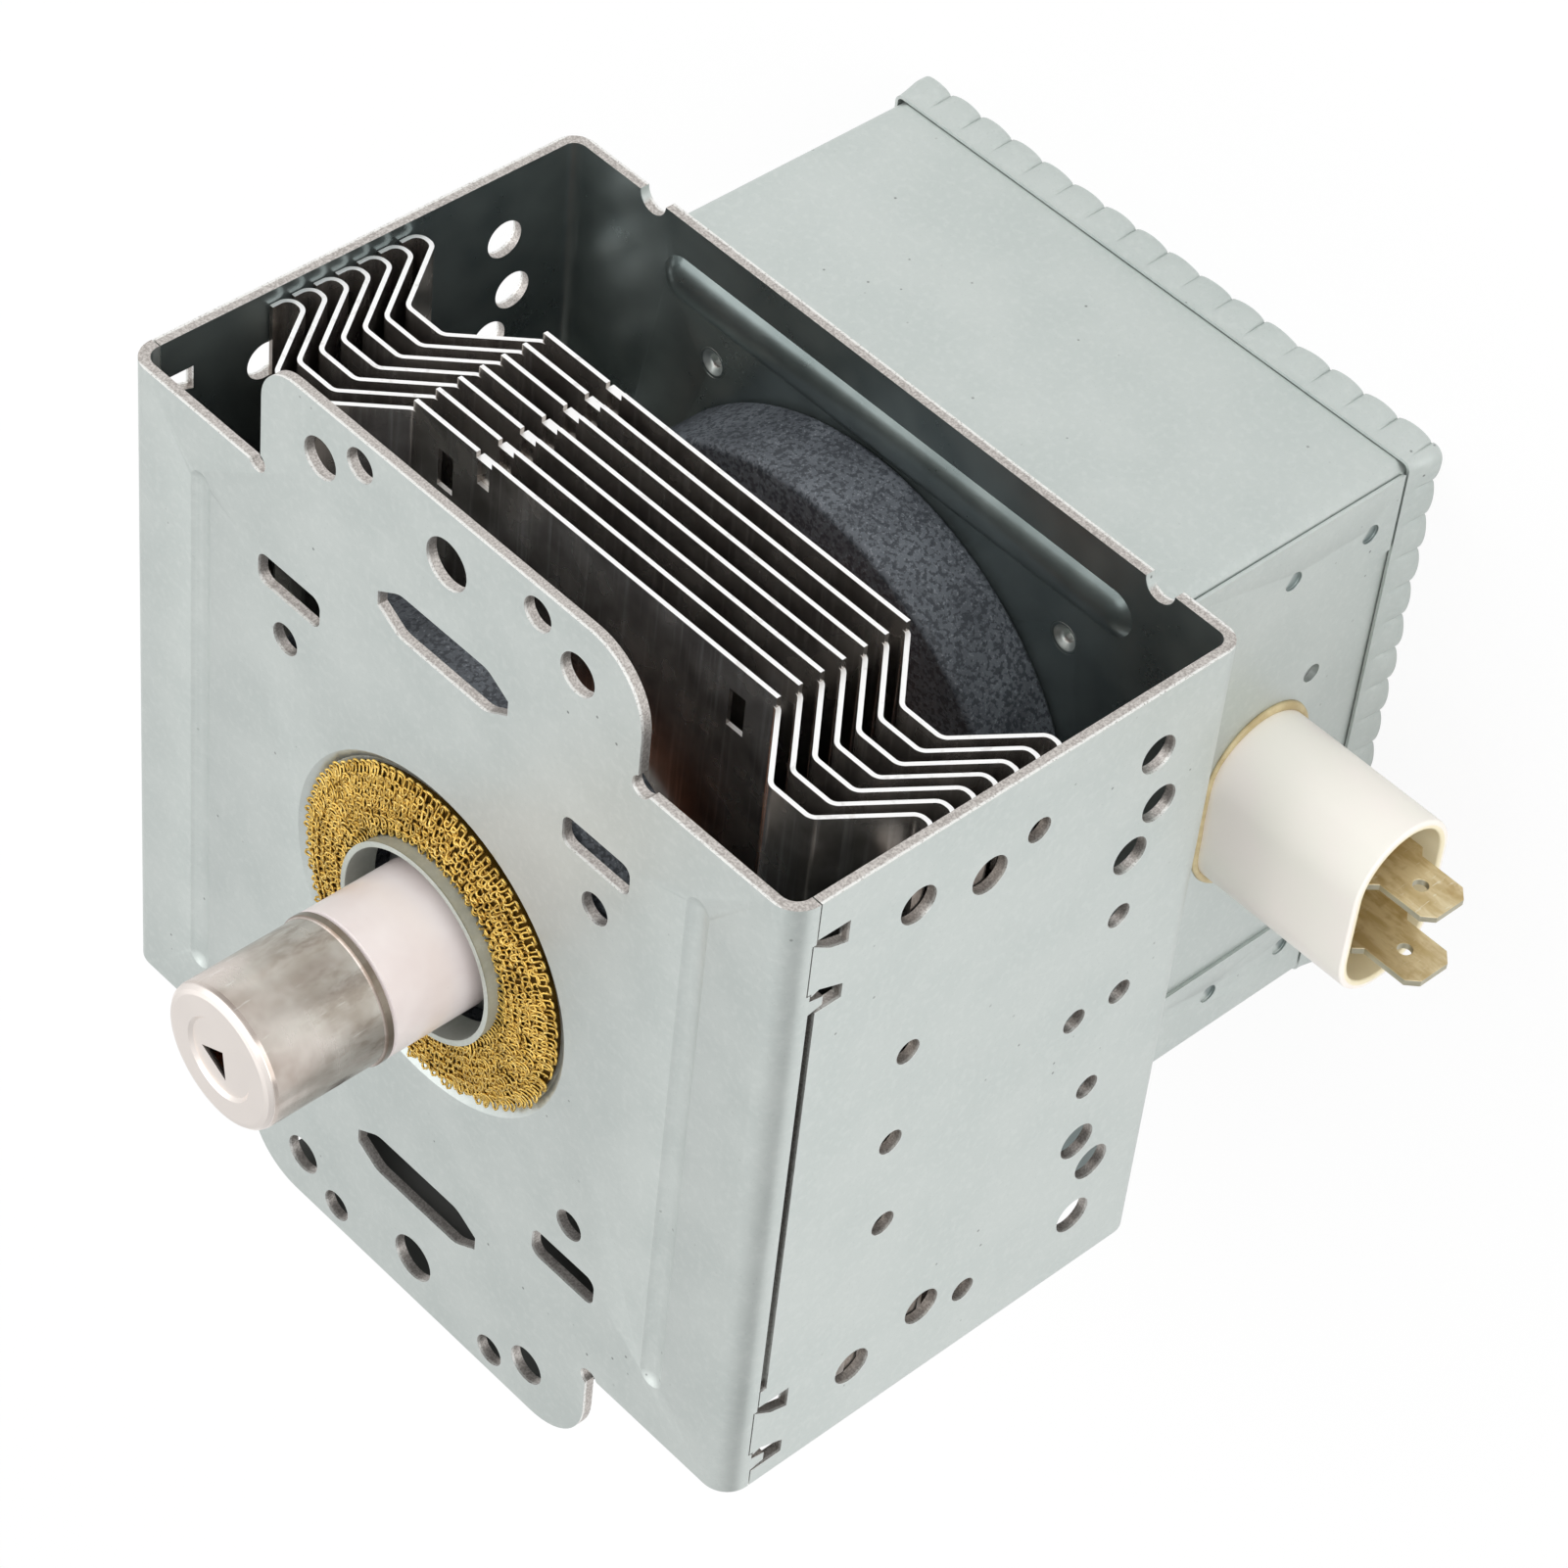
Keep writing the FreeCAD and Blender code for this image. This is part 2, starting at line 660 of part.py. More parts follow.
def filament():
    height = coil_turns * coil_pitch
    z0 = anode_mid - height / 2
    helix = Part.makeHelix(coil_pitch, height, coil_r)
    helix.translate(V(0, 0, z0))
    start = V(coil_r, 0, z0)
    circle = Part.Wire(Part.makeCircle(coil_wire, start, V(0, 1, coil_pitch / (6.283 * coil_r))))
    return Part.Wire(helix).makePipeShell([circle], True, True)


def cathode_hat(top):
    reach = coil_turns * coil_pitch / 2 + coil_wire
    if top:
        z0 = anode_mid + reach
        return rod(hat_r, z0, z0 + hat_thickness).cut(rod(lead_r, z0 - 1, z0 + hat_thickness - 0.4))
    z1 = anode_mid - reach
    shape = ring(hat_r, lead_r + 0.5, z1 - hat_thickness, z1)
    return shape.cut(rod(lead_r, z1 - 5, z1 - hat_thickness + 0.5, -lead_offset, 0))


def parts_of_cathode():
    reach = coil_turns * coil_pitch / 2 + coil_wire
    top = anode_mid + reach + hat_thickness - 0.4
    foot = stem_floor()
    centre = rod(lead_r, foot, top)
    side_top = anode_mid - reach - hat_thickness + 0.5
    side = rod(lead_r, foot, side_top, -lead_offset, 0)
    return centre, side


def stem_floor():
    return rear_magnet_end - magnet_thickness - stem_length


def front_seal():
    w = seal_wall
    root = anode_top
    r0, r1 = seal_r, seal_neck_r
    neck = seal_top - seal_lip
    cone = neck - seal_cone
    return turned([(r0 - w, root), (r0 + seal_foot, root), (r0 + seal_foot, root + w),
                   (r0, root + w), (r0, cone + w), (r1, neck + w), (r1, seal_top),
                   (r1 - w, seal_top), (r1 - w, neck), (r0 - w, cone)])


def antenna_ceramic():
    c = 0.5
    return turned([(ceramic_bore, seal_top), (ceramic_r - c, seal_top),
                   (ceramic_r, seal_top + c), (ceramic_r, ceramic_top - c),
                   (ceramic_r - c, ceramic_top), (ceramic_bore, ceramic_top)])


def exhaust_tube():
    """The copper pump tube on the ceramic, pinched shut over the antenna's end."""
    w = exhaust_wall
    base = ceramic_top
    shoulder = exhaust_tip - exhaust_taper
    rim = cap_r - cap_wall - cap_fit
    return turned([(exhaust_r - w, base), (exhaust_r - w, shoulder),
                   (0.0, exhaust_tip - exhaust_pinch), (0.0, exhaust_tip),
                   (exhaust_r * 0.5, exhaust_tip), (exhaust_r, shoulder), (exhaust_r, base + w),
                   (rim, base + w), (rim, base)])


def antenna_cap():
    w = cap_wall
    base = ceramic_top
    e = cap_edge
    top, dish = cap_top, cap_top - cap_dish
    bead = base + cap_bead_height
    outside = [(cap_r - w, base), (cap_r + cap_bead, base), (cap_r + cap_bead, bead),
               (cap_r, bead + cap_bead)]
    for turn in (0, 30, 60, 90):
        c, q = math.cos(math.radians(turn)), math.sin(math.radians(turn))
        outside.append((cap_r - e * (1 - c), top - e * (1 - q)))
    outside += [(cap_dish_r, top), (cap_dish_r - cap_dish, dish), (0.0, dish)]
    inside = [(0.0, dish - w), (cap_dish_r - cap_dish, dish - w), (cap_dish_r, top - w),
              (cap_r - e, top - w), (cap_r - w, top - e)]
    cutter = face_of([(x, y, dish - w - 1) for x, y in cap_hole]).extrude(V(0, 0, w + 2))
    return turned(outside + inside).cut(cutter)


def antenna_lead():
    """The copper rod from one vane through the front pole piece to the pump tube."""
    return wire(antenna_path(), antenna_r)


def gasket_collar():
    w = collar_wall
    floor = -recess_depth
    low = front_magnet_top
    return turned([(collar_r - w, low), (collar_r, low), (collar_r, floor),
                   (collar_rim, floor), (collar_rim, floor + collar_rim_thickness),
                   (collar_r, floor + collar_rim_thickness), (collar_r, collar_top - 0.2),
                   (collar_r + 0.2, collar_top), (collar_r - w, collar_top)])


def gasket_mesh():
    """The knitted brass ring, a soft pad that swells between its collar and the recess's wall."""
    floor = -recess_depth
    shelf = floor + collar_rim_thickness
    lean = mesh_outer_top - mesh_inner_top
    inner, rim = collar_r + mesh_gap, collar_rim + mesh_gap
    steps = 10
    top = []
    for k in range(steps + 1):
        t = k / steps
        swell = mesh_crown * (4 * t * (1 - t)) ** mesh_round
        z = mesh_inner_top + lean * t + swell
        top.append((inner + (mesh_r - inner) * t, z))
    return turned([(inner, shelf), (rim, shelf), (rim, floor), (mesh_r, floor)] + top[::-1])


def rear_seal():
    w = stem_cup_wall
    end = anode_end
    foot = stem_floor() + stem_length - stem_cup_past
    rim = stem_r + stem_cup_foot
    return turned([(stem_r - w, end), (stem_r - w, foot), (stem_r, foot), (stem_r, end - w),
                   (rim, end - w), (rim, end)])


def stem_ceramic():
    z1 = stem_floor() + stem_length - stem_cup_past
    z0 = stem_floor()
    r = stem_r
    floor = z0 + stem_base
    c = stem_chamfer
    body = turned([(stem_bore, floor), (stem_bore, z1), (r, z1), (r, z0 + c),
                   (r - c, z0), (0.0, z0), (0.0, floor)])
    for x in (0.0, -lead_offset):
        body = body.cut(rod(lead_r, z0 - 1, z1, x, 0))
    return body


def stem_pins():
    pins = []
    z0 = stem_floor() - pad_thickness
    reach = stem_pin_x + pad_past
    for side, x0, x1 in ((-1, -reach, -lead_offset + pad_lap), (1, -pad_lap, reach)):
        pad = box(x0, x1, -pad_half, pad_half, z0, z0 + pad_thickness)
        pin = rod(stem_pin_r, z0 - stem_pin_out, z0, side * stem_pin_x, 0)
        pins.append(pad.fuse(pin))
    return Part.makeCompound(pins)


def filter_box():
    """The folded box: an open tray whose front is fixed to the yoke's back."""
    t = box_sheet
    outer = rounded(-box_half, box_half, -box_half, box_half, box_back, box_front, box_corner)
    inner = rounded(-box_half + t, box_half - t, -box_half + t, box_half - t,
                    box_back - 1, box_front - t, box_corner - t * 0.9)
    shape = outer.cut(inner)
    shape = shape.cut(rod(box_bore, box_front - t - 1, box_front + 1))
    for side in (-1, 1):
        for flank in (-1, 1):
            shape = shape.cut(rod(rivet_hole / 2, box_front - t - 1, box_front + 1,
                                  back_shift + flank * rivet_x, side * rivet_y))
    shape = shape.cut(stadium_x(sleeve_half_height + 0.3, sleeve_half_width + 0.3,
                                box_half - t - 1, box_half + 1, -feed_z))
    shape = shape.cut(rod_x(side_hole / 2, box_half - t - 1, box_half + 1, side_hole_y, -side_hole_z))
    for side in (-1, 1):
        for z in clinch_z:
            shape = shape.cut(rod_x(clinch_r, box_half - t - 1, box_half + 1, side * clinch_y, -z))
    return shape.removeSplitter()


def box_strap():
    """The two strips folded over the terminal side, held by clinched buttons."""
    t = strip_step
    x0, x1 = box_half, box_half + t
    strips = []
    for side in (-1, 1):
        y0, y1 = side * (box_half - strip_height), side * (box_half - strip_edge)
        strip = box(x0, x1, min(y0, y1), max(y0, y1), box_back + lid_lap + strip_gap,
                    box_front - strip_gap)
        for z in clinch_z:
            strip = strip.fuse(rod_x(clinch_r, box_half - box_sheet, x1, side * clinch_y, -z))
            strip = strip.cut(rod_x(clinch_dent_r, x1 - clinch_dent, x1 + 1, side * clinch_y, -z))
        strips.append(strip.removeSplitter())
    return Part.makeCompound(strips)


def scalloped(half, z0, z1):
    """A square block whose sides are runs of shallow round lobes."""
    pitch = 2 * half / scallops
    sides = []
    for k in range(4):
        turn = FreeCAD.Rotation(V(0, 0, 1), 90.0 * k)
        for j in range(scallops):
            a = -half + j * pitch
            start = turn.multVec(V(a, -half, z0))
            mid = turn.multVec(V(a + pitch / 2, -half - scallop_depth, z0))
            end = turn.multVec(V(a + pitch, -half, z0))
            sides.append(Part.Arc(start, mid, end).toShape())
    return Part.Face(Part.Wire(sides)).extrude(V(0, 0, z1 - z0))


def filter_lid():
    """The rear cover, whose skirt is crimped in small lobes round the box's rim."""
    t = box_sheet
    half = box_half + lid_fit
    z0 = box_back - lid_past
    z1 = box_back + lid_lap
    shape = scalloped(half + lid_wall, z0, z1)
    shape = shape.cut(box(-half, half, -half, half, box_back, z1 + 1))
    shape = shape.cut(box(-half, half, -half, half, z0 - 1, box_back - t))
    return shape.removeSplitter()


def rivets():
    """Four eyelets, headed inside the box and flared into the yoke's back wall."""
    found = []
    low = box_front - box_sheet
    for side in (-1, 1):
        for flank in (-1, 1):
            x, y = back_shift + flank * rivet_x, side * rivet_y
            r = rivet_hole / 2
            rivet = rivet_shank(x, y).fuse(rod(r + rivet_rim, low - rivet_head, low, x, y))
            rivet = rivet.cut(rod(rivet_bore / 2, back_in - rivet_dent, back_in + 1, x, y))
            rivet = rivet.cut(Part.makeCone(rivet_bore / 2, r + rivet_flare - rivet_lip, rivet_flare,
                                            V(x, y, back_in - rivet_flare)))
            found.append(rivet.removeSplitter())
    return Part.makeCompound(found)


def terminal_sleeve():
    """The ivory insulating sleeve round the two blade terminals."""
    x0 = box_half - box_sheet - flange_sheet
    tube = stadium_x(sleeve_half_height, sleeve_half_width, x0, sleeve_end, -feed_z)
    bore = stadium_x(sleeve_half_height - sleeve_wall, sleeve_half_width - sleeve_wall,
                     x0 - 1, sleeve_end + 1, -feed_z)
    return tube.cut(bore)


def capacitor_flange():
    """The oval steel plate that seats the capacitor against the box's side."""
    x1 = box_half - box_sheet
    x0 = x1 - flange_sheet
    plate = stadium_x(body_half_height + flange_grow, body_half_width + flange_grow, x0, x1, -feed_z)
    return plate.cut(stadium_x(sleeve_half_height, sleeve_half_width, x0 - 1, x1 + 1, -feed_z))


def capacitor_body():
    """The moulded block inside the box with the two ceramic capacitors in it."""
    x1 = box_half - box_sheet - flange_sheet
    block = stadium_x(body_half_height, body_half_width, body_inner, x1, -feed_z)
    plug = stadium_x(sleeve_half_height - sleeve_wall, sleeve_half_width - sleeve_wall,
                     x1, x1 + 5.0, -feed_z)
    block = block.fuse(plug)
    for side in (-1, 1):
        block = block.cut(tab_blank(side, tab_fit))
    return block.removeSplitter()


def tab_blank(side, grow):
    t = tab_thickness / 2 + grow
    y = side * tab_y
    w = tab_shoulder / 2 + grow
    x0 = tab_root - (1 if grow else 0)
    return box(x0, tab_shoulder_end, y - t, y + t, -feed_z - w, -feed_z + w)


def terminal_tab(side):
    """A 6.3 mm blade with bevelled corners, a detent hole and a wider root."""
    t = tab_thickness / 2
    y = side * tab_y
    half = tab_width / 2
    root = tab_shoulder / 2
    c = tab_chamfer
    outline = [(tab_root, -root), (tab_shoulder_end, -root), (tab_shoulder_end + 0.8, -half),
               (tab_end - c, -half), (tab_end, -half + c), (tab_end, half - c),
               (tab_end - c, half), (tab_shoulder_end + 0.8, half), (tab_shoulder_end, root),
               (tab_root, root)]
    blade = face_of([(x, y - t, z - feed_z) for x, z in outline]).extrude(V(0, 2 * t, 0))
    hole = Part.makeCylinder(tab_hole / 2, 4, V(tab_end - tab_hole_back, y - 2, -feed_z), V(0, 1, 0))
    return blade.cut(hole)


def choke_core(side):
    return rod_x(core_r, body_inner - core_length, body_inner, side * choke_y, -choke_z)


def choke_start():
    return body_inner - (core_length + choke_turns * choke_pitch) / 2


def choke_coil(side):
    """The wire wound round a ferrite rod, as a helix of round wire."""
    length = choke_turns * choke_pitch
    helix = Part.makeHelix(choke_pitch, length, choke_r)
    start = V(choke_r, 0, 0)
    slope = choke_pitch / (2 * math.pi * choke_r)
    circle = Part.Wire(Part.makeCircle(choke_wire, start, V(0, 1, slope)))
    coil = Part.Wire(helix).makePipeShell([circle], True, True)
    coil.rotate(V(0, 0, 0), V(0, 1, 0), 90)
    coil.translate(V(choke_start(), choke_y, -choke_z))
    return coil if side > 0 else coil.mirror(V(0, 0, 0), V(0, 1, 0))


def choke_leads(side):
    """The wires from a choke's two ends to its stem pin and to its terminal's root."""
    slope = choke_pitch / (2 * math.pi * choke_r)
    x0 = choke_start()
    x1 = x0 + choke_turns * choke_pitch
    low, high = -choke_z - choke_r, -choke_z + choke_r
    pin_x = side * stem_pin_x
    pin_y = stem_pin_r + choke_wire
    pin_z = stem_floor() - stem_pin_out / 2
    turn_y = choke_y - choke_lead_out
    to_pin = [(x0, choke_y, low), (x0 - slope * choke_lead_out, turn_y, low),
              (pin_x, pin_y, pin_z), (pin_x, pin_y, pin_z + 1.0)]
    tab_face = tab_y + tab_thickness / 2 + choke_wire
    to_tab = [(x1, choke_y, high), (x1 + slope * (choke_y - tab_face), tab_face, high),
              (tab_root + choke_wire, tab_face, high), (tab_root + 2 * choke_wire, tab_face, -feed_z)]
    runs = [wire([(x, side * y, z) for x, y, z in path], choke_wire) for path in (to_pin, to_tab)]
    return Part.makeCompound(runs)


def build():
    nodes = {"front_plate": front_plate(), "yoke_frame": yoke_frame(),
             "magnet_front": magnet(front_magnet_end, front_magnet_top),
             "magnet_rear": magnet(back_in, rear_magnet_end),
             "anode_cylinder": anode_cylinder(), "anode_vanes": anode_vanes(),
             "strap_ring_front": strap(True), "strap_ring_rear": strap(False),
             "pole_piece_front": pole_piece(True), "pole_piece_rear": pole_piece(False),
             "filament_coil": filament(), "cathode_hat_front": cathode_hat(True),
             "cathode_hat_rear": cathode_hat(False), "front_seal_cup": front_seal(),
             "antenna_ceramic": antenna_ceramic(), "exhaust_tube": exhaust_tube(),
             "antenna_cap": antenna_cap(), "antenna_lead": antenna_lead(),
             "gasket_collar": gasket_collar(), "gasket_mesh": gasket_mesh(),
             "rear_seal_cup": rear_seal(), "stem_ceramic": stem_ceramic(),
             "stem_pins": stem_pins(), "filter_box": filter_box(), "box_side_strips": box_strap(),
             "filter_lid": filter_lid(), "box_rivets": rivets(),
             "terminal_sleeve": terminal_sleeve(), "capacitor_flange": capacitor_flange(),
             "capacitor_body": capacitor_body(),
             "terminal_tab_upper": terminal_tab(1), "terminal_tab_lower": terminal_tab(-1)}
    nodes["cathode_centre_lead"], nodes["cathode_side_lead"] = parts_of_cathode()
    for k in range(fin_count):
        nodes["cooling_fin_%d" % (k + 1)] = fin(k)
    for side, word in ((1, "upper"), (-1, "lower")):
        nodes["choke_core_" + word] = choke_core(side)
        nodes["choke_coil_" + word] = choke_coil(side)
        nodes["choke_leads_" + word] = choke_leads(side)
    return nodes


os.makedirs("parts", exist_ok=True)
for name, shape in build().items():
    shape.exportStep("parts/" + name + ".step")
    print(name, "valid" if shape.isValid() else "NOT VALID", round(shape.Volume, 1), len(shape.Solids))
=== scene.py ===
"""A microwave-oven magnetron, dressed over its CAD frame.

Lengths are metres in the row frame: Z along the tube to the antenna, Y to the open side that shows
the fins, X to the terminals. Each section makes one part of the picture: the finishes, the pieces
that the CAD solids don't carry, the finishes' places on the nodes, and the studio.
"""
import math

import bmesh
import bpy
import numpy as np
from mathutils import Matrix, Vector


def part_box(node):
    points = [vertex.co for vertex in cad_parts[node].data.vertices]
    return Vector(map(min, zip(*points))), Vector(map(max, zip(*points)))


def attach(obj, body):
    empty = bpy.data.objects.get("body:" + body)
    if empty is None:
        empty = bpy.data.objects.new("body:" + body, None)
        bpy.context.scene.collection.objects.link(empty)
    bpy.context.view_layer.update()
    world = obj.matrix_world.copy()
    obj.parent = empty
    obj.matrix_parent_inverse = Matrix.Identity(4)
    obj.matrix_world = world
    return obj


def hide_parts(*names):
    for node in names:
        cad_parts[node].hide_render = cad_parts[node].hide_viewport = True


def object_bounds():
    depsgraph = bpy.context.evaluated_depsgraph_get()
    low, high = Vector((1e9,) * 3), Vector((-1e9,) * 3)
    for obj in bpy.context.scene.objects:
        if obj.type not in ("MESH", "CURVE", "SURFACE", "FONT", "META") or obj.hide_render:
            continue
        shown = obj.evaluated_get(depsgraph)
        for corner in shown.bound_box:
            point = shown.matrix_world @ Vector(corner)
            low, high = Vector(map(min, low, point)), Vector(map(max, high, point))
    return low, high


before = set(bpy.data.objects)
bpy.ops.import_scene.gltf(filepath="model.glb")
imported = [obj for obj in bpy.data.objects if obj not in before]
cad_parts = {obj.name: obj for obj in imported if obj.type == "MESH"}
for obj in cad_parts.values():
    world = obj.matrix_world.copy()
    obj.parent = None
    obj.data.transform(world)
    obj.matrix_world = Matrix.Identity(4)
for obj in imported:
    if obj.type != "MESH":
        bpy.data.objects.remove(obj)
cad_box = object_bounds()
MM = 0.001


# Shader maths

class Flow:
    """A socket of a finish's nodes. Arithmetic on it adds Math nodes."""

    def __init__(self, finish, socket):
        self.finish = finish
        self.socket = socket

    def math(self, operation, *values):
        return self.finish.add("ShaderNodeMath", {"operation": operation}, *values)

    def __add__(self, other):
        return self.math("ADD", self, other)

    def __sub__(self, other):
        return self.math("SUBTRACT", self, other)

    def __rsub__(self, other):
        return self.math("SUBTRACT", other, self)

    def __mul__(self, other):
        return self.math("MULTIPLY", self, other)

    __radd__ = __add__
    __rmul__ = __mul__

    def size(self):
        return self.math("ABSOLUTE", self)

    def most(self, other):
        return self.math("MAXIMUM", self, other)

    def root(self):
        return self.math("SQRT", self)

    def rise(self, low, high):
        """0 below low, 1 above high, and a smooth step between them; low may be the larger."""
        settings = {"interpolation_type": "SMOOTHSTEP"}
        names = {"Value": self, "From Min": low, "From Max": high}
        return self.finish.add("ShaderNodeMapRange", settings, output="Result", **names)


class Finish:
    """One procedural material, or the world whose node tree is given, built from the nodes that
    its methods add."""

    def __init__(self, name, tree=None):
        self.material = None
        if tree is None:
            self.material = bpy.data.materials.new(name)
            self.material.use_nodes = True
            tree = self.material.node_tree
        self.tree = tree
        self.tree.nodes.clear()

    def feed(self, socket, value):
        if isinstance(value, Flow):
            self.tree.links.new(value.socket, socket)
        else:
            socket.default_value = value

    def add(self, kind, settings, *values, output=0, **named):
        """A node of that kind: its settings first, then its sockets by place or by name."""
        node = self.tree.nodes.new(kind)
        for key, value in settings.items():
            setattr(node, key, value)
        for socket, value in zip(node.inputs, values):
            self.feed(socket, value)
        for key, value in named.items():
            self.feed(node.inputs[key], value)
        return Flow(self, node.outputs[output])

    def place(self, stretch=(1.0, 1.0, 1.0)):
        """Object coordinates, in millimetres, stretched along each axis."""
        spot = self.add("ShaderNodeTexCoord", {}, output="Object")
        grow = tuple(1000.0 / s for s in stretch)
        return self.add("ShaderNodeVectorMath", {"operation": "MULTIPLY"}, spot, grow)

    def along(self):
        """The three object coordinates in millimetres, apart."""
        spot = self.place()
        node = self.tree.nodes.new("ShaderNodeSeparateXYZ")
        self.feed(node.inputs[0], spot)
        return [Flow(self, socket) for socket in node.outputs]

    def facing(self):
        """The sizes of the surface direction's three parts, in the object's own axes."""
        node = self.tree.nodes.new("ShaderNodeSeparateXYZ")
        self.feed(node.inputs[0], self.add("ShaderNodeTexCoord", {}, output="Normal"))
        return [Flow(self, socket).size() for socket in node.outputs]

    def noise(self, period, detail=3.0, roughness=0.55, stretch=(1.0, 1.0, 1.0)):
        """Soft noise whose lumps are about that many millimetres across."""
        return self.add("ShaderNodeTexNoise", {}, output="Fac", Vector=self.place(stretch),
                        Scale=1.0 / period, Detail=detail, Roughness=roughness)

    def cells(self, period):
        """Distance to scattered points, in cells that many millimetres across."""
        return self.add("ShaderNodeTexVoronoi", {}, output="Distance", Vector=self.place(),
                        Scale=1.0 / period)

    def mix(self, part, first, second):
        """The first colour where part is 0 and the second where it is 1."""
        node = self.tree.nodes.new("ShaderNodeMix")
        node.data_type = "RGBA"
        for index, value in ((0, part), (6, first), (7, second)):
            if isinstance(value, tuple):
                value = (*value, 1.0)
            self.feed(node.inputs[index], value)
        return Flow(self, node.outputs[2])

    def bump(self, height, distance_mm, strength=1.0):
        return self.add("ShaderNodeBump", {}, output="Normal", Height=height,
                        Distance=distance_mm * MM, Strength=strength)

    def shade(self, **sockets):
        """The surface shader, fed by socket names written with underscores for spaces."""
        shader = self.tree.nodes.new("ShaderNodeBsdfPrincipled")
        for key, value in sockets.items():
            key = key.replace("_", " ")
            if isinstance(value, tuple) and len(value) == 3:
                value = (*value, 1.0)
            self.feed(shader.inputs[key], value)
        return self.end(Flow(self, shader.outputs[0]))

    def blend(self, part, first, second):
        """The first shader where part is 0 and the second where it is 1, as the surface."""
        return self.end(self.add("ShaderNodeMixShader", {}, part, first, second))

    def end(self, shader, kind="ShaderNodeOutputMaterial"):
        """Ends the nodes in that shader."""
        self.feed(self.tree.nodes.new(kind).inputs[0], shader)
        return self.material


def srgb(r, g, b):
    """A colour as a screen shows it, 0 to 255 a channel, as linear light."""
    def one(v):
        v /= 255.0
        return v / 12.92 if v <= 0.04045 else ((v + 0.055) / 1.055) ** 2.4
    return one(r), one(g), one(b)


# Finishes

ZINC = srgb(200, 206, 203)
ZINC_DARK = srgb(194, 201, 198)
ZINC_PALE = srgb(209, 214, 211)
HALF_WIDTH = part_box("yoke_frame")[1][0] / MM
DEPTH = -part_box("yoke_frame")[0][2] / MM
SHEET = 1.2
SLEEVE_STRAIGHT = 4.1    # half of the straight side of the sleeve's flat oval, which runs along Y
SLEEVE_DEPTH = 77.4


def zinc_steel(name, parts_of):
    """Zinc-plated sheet: faint mottling, a fine grey spangle, sparse pits, faint rolling lines.
    parts_of(finish) gives three masks: where the sheet was cut, where that cut has its bright
    burr, and where shade is painted: what faces the dark inside, painted a darker grey for the
    shade there and made a little smoother."""
    f = Finish(name)
    cut, burr, inside = parts_of(f)
    mottle = f.noise(11.0, 2.0, 0.6)
    spangle = f.noise(0.8, 2.0, 0.5)
    grain = f.noise(0.24, 1.0, 0.5)
    patch = f.noise(14.0, 2.0)
    pits = f.cells(2.6).rise(0.08, 0.04) * patch.rise(0.5, 0.62)
    rolled = f.noise(0.35, 1.0, 0.5, (1.0, 40.0, 40.0))
    tone = f.mix(mottle.rise(0.3, 0.7), ZINC_DARK, ZINC)
    tone = f.mix(spangle.rise(0.45, 0.72) * 0.4, tone, ZINC_PALE)
    tone = f.mix(grain.rise(0.6, 0.78) * 0.16, tone, srgb(150, 157, 155))
    tone = f.mix(pits * 0.7, tone, srgb(96, 100, 98))
    # painted shade: this darker grey goes on the faces towards the dark inside, the seam's ends and
    # the clinch marks
    shade = f.mix(mottle.rise(0.3, 0.7), srgb(112, 124, 124), srgb(140, 151, 150))
    tone = f.mix(inside * 0.9, tone, shade)
    scores = f.noise(0.2, 2.0, 0.7)
    rough_edge = f.mix(scores.rise(0.36, 0.64), srgb(158, 150, 145), srgb(206, 200, 195))
    tone = f.mix(cut * 0.9, tone, rough_edge)
    tone = f.mix(burr * scores.rise(0.25, 0.5), tone, srgb(234, 234, 231))
    rough = 0.40 + (mottle - 0.5) * 0.14 + (spangle - 0.5) * 0.08 + cut * 0.04 - inside * 0.1
    height = spangle * 0.4 + grain * 0.25 + rolled * 0.25 + scores * cut * 2.0
    return f.shade(Base_Color=tone, Metallic=0.86, Roughness=rough,
                   Normal=f.bump(height, 0.016, 0.5))


def plate_parts(f):
    """The front plate is cut wherever it doesn't face along Z, short of its wrapped sides; the
    burr stands at its outer face, and its back faces the inside, where shade is painted."""
    x, _, z = f.along()
    _, ny, nz = f.facing()
    flat = nz.rise(0.55, 0.35)
    cut = (flat * x.size().rise(HALF_WIDTH - 3.8, HALF_WIDTH - 4.4)).most(ny.rise(0.8, 0.95))
    # painted shade: the plate's back, towards the inside
    back = z.rise(-SHEET + 0.1, -SHEET + 0.05)
    inside = back * x.size().rise(HALF_WIDTH - SHEET + 0.1, HALF_WIDTH - SHEET) * nz.rise(0.3, 0.6)
    return cut, cut * z.rise(-0.4, -0.2), inside


def yoke_parts(f):
    """The frame is cut where it faces along Y and round the holes of its side walls; the burr
    runs along the outside, and everything within the walls faces the inside, where shade is
    painted. The walls' front ends, between the hooks, are ragged, with bright specks along their
    inner edge, and are painted dark for the shade in the seam's gap."""
    x, _, z = f.along()
    nx, ny, nz = f.facing()
    out, wall = HALF_WIDTH, HALF_WIDTH - SHEET
    hole = nx.rise(0.6, 0.3) * x.size().rise(wall - 0.1, wall) * z.rise(3.0 - DEPTH, 4.0 - DEPTH)
    cut = ny.rise(0.6, 0.85).most(hole)
    burr = cut * x.size().rise(out - 0.4, out - 0.2).most(z.rise(0.4 - DEPTH, 0.2 - DEPTH))
    back = SHEET - DEPTH
    # painted shade: everything within the walls
    inside = x.size().rise(wall + 0.1, wall + 0.05) * z.rise(back - 0.1, back - 0.05)
    # painted shade: the walls' front ends, darkened for the shade in the seam's gap
    seam_ends = nz.rise(0.6, 0.85) * z.rise(-8.0, -7.5) * x.size().rise(wall - 0.1, wall)
    specks = seam_ends * x.size().rise(wall + 0.4, wall + 0.15)
    return cut, burr.most(specks), (inside * (1 - cut)).most(seam_ends * 0.8)


